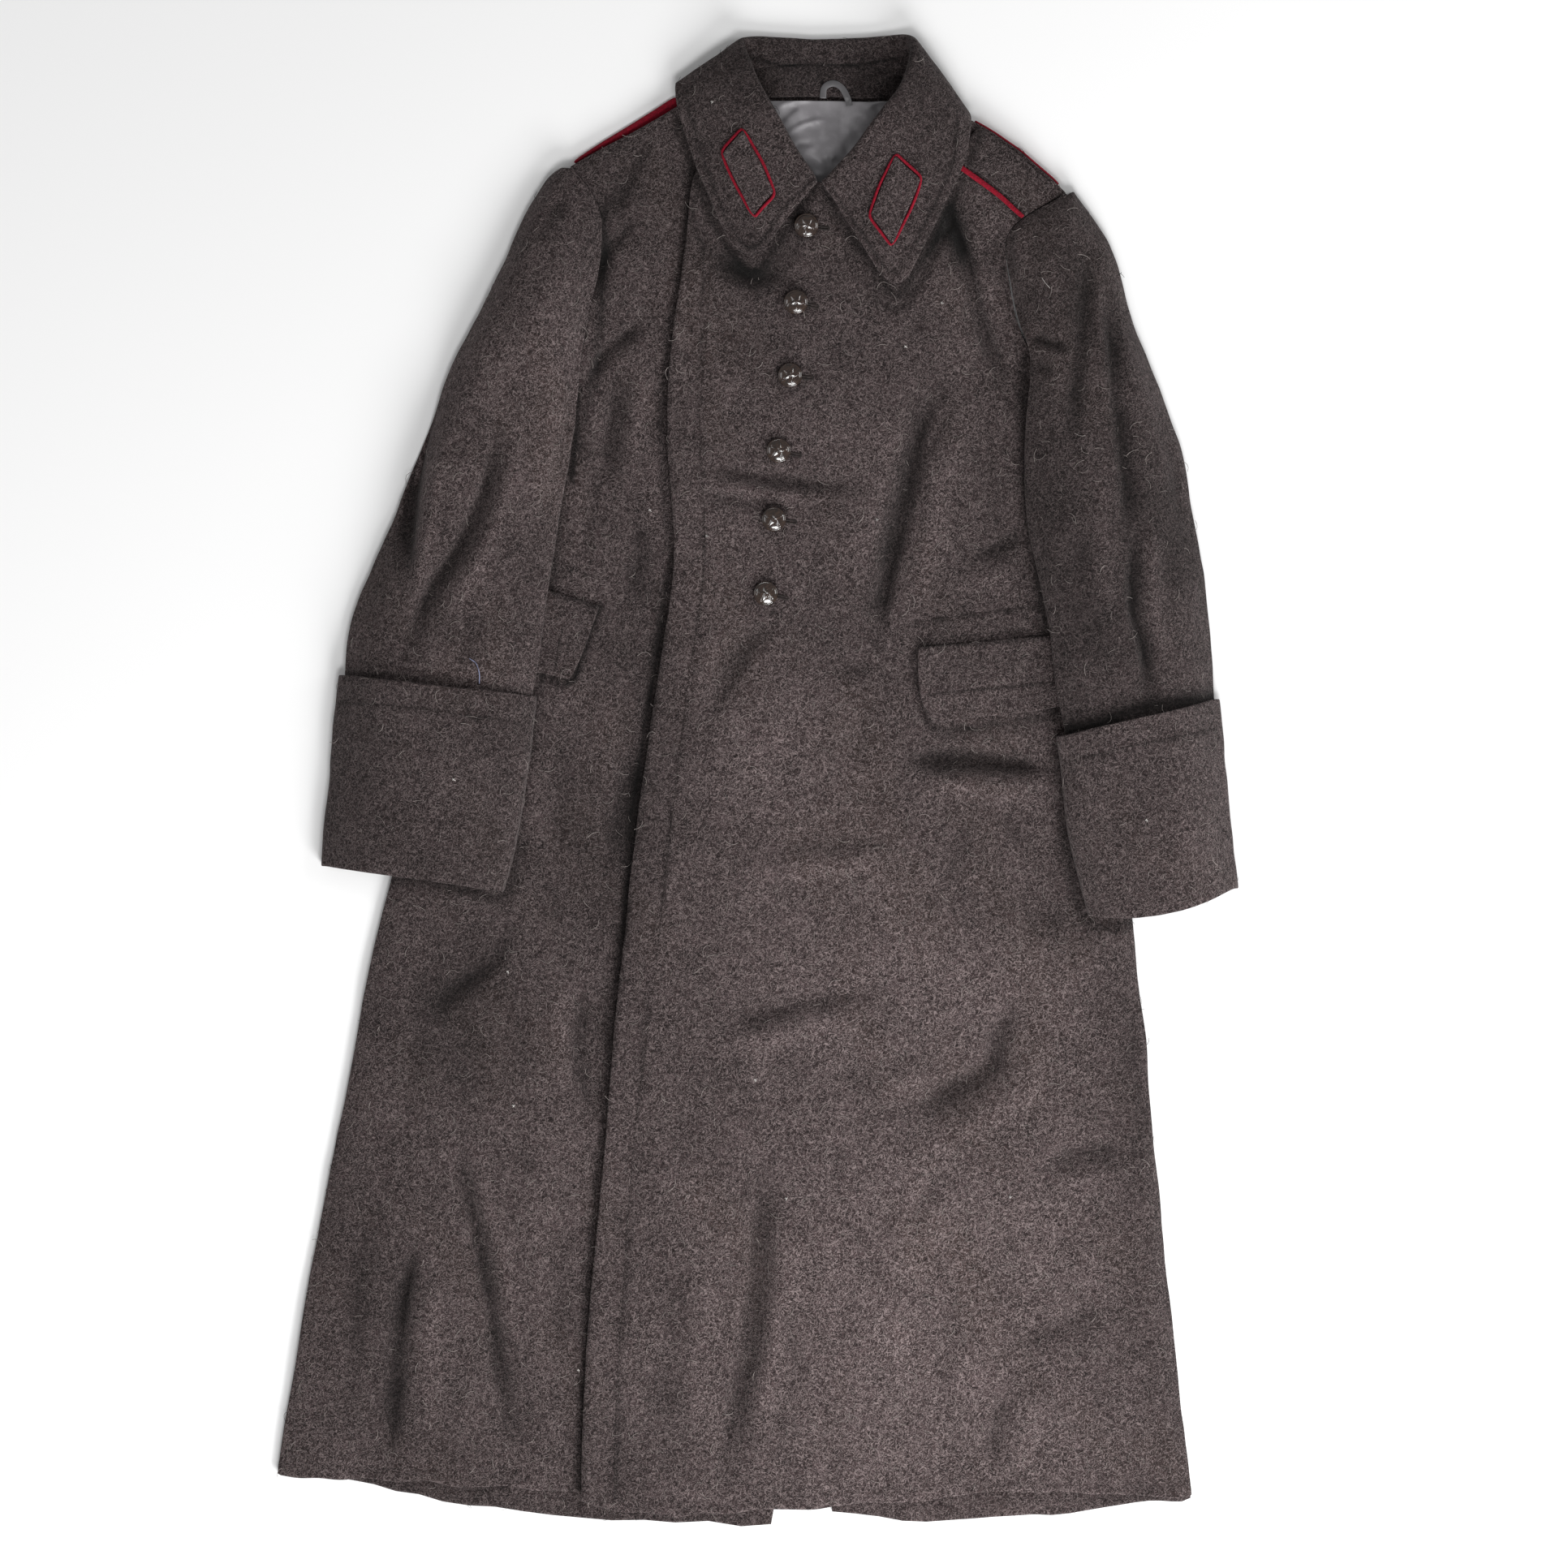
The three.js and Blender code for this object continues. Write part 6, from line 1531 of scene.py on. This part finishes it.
def pale_floor():
    """A wide pale surface just under the coat."""
    mesh = bpy.data.meshes.new("floor")
    signs = ((-1, -1), (1, -1), (1, 1), (-1, 1))
    corners = [(x * FLOOR_HALF, y * FLOOR_HALF, FLOOR_LEVEL) for x, y in signs]
    mesh.from_pydata(corners, [], [(0, 1, 2, 3)])
    floor = bpy.data.objects.new("floor", mesh)
    bpy.context.scene.collection.objects.link(floor)
    finish = Finish("pale_floor")
    finish.set(Base_Color=(0.90, 0.90, 0.90, 1.0), Roughness=0.9)
    mesh.materials.append(finish.material)


def soft_light(name, at, aim, size, power):
    """A rectangular lamp at a place, turned to what it lights."""
    light = bpy.data.lights.new(name, "AREA")
    light.shape = "RECTANGLE"
    light.size, light.size_y = size
    light.energy = power
    lamp = bpy.data.objects.new(name, light)
    lamp.location = at
    lamp.rotation_mode = "QUATERNION"
    lamp.rotation_quaternion = (Vector(aim) - Vector(at)).to_track_quat("-Z", "Y")
    bpy.context.scene.collection.objects.link(lamp)


pale_floor()
soft_light("window_at_the_foot", (1.1, -2.5, 1.35), (0, -0.1, 0), (1.5, 1.1), 100)
soft_light("window_right", (2.5, 0.6, 1.3), (0, 0, 0), (1.2, 1.6), 34)
soft_light("window_left", (-2.4, 0.4, 2.2), (0, 0, 0), (1.4, 1.8), 14)
soft_light("skylight", (0.35, -1.75, 3.0), (0, 0, 0), (1.5, 1.0), 52)

SKY_STRENGTH = 0.22
world = bpy.data.worlds.new("studio")
bpy.context.scene.world = world
world.use_nodes = True
world.node_tree.nodes["Background"].inputs["Color"].default_value = (1.0, 1.0, 1.0, 1.0)
world.node_tree.nodes["Background"].inputs["Strength"].default_value = SKY_STRENGTH

# The camera looks straight down, and its scale is true at the level of the cloth
CAMERA_HEIGHT = 6.0
CLOTH_LEVEL = 0.012
SENSOR = 36.0
camera_data = bpy.data.cameras.new("camera")
camera_data.sensor_width = SENSOR
camera_data.lens = SENSOR * CAMERA_HEIGHT / (IMAGE_SIDE * MM_PER_PIXEL * MM)
camera = bpy.data.objects.new("camera", camera_data)
middle_x, middle_y = place(IMAGE_SIDE / 2, IMAGE_SIDE / 2)
camera.location = (middle_x, middle_y, CAMERA_HEIGHT + CLOTH_LEVEL)
bpy.context.scene.collection.objects.link(camera)
bpy.context.scene.camera = camera
bpy.context.scene.view_settings.view_transform = "Standard"


# The record of a piece of cloth as it was cut, in metres and square metres; no pieces are entered here
Cut = namedtuple("Cut", "node wide long area held rests")
surfaces["lining"] = lining
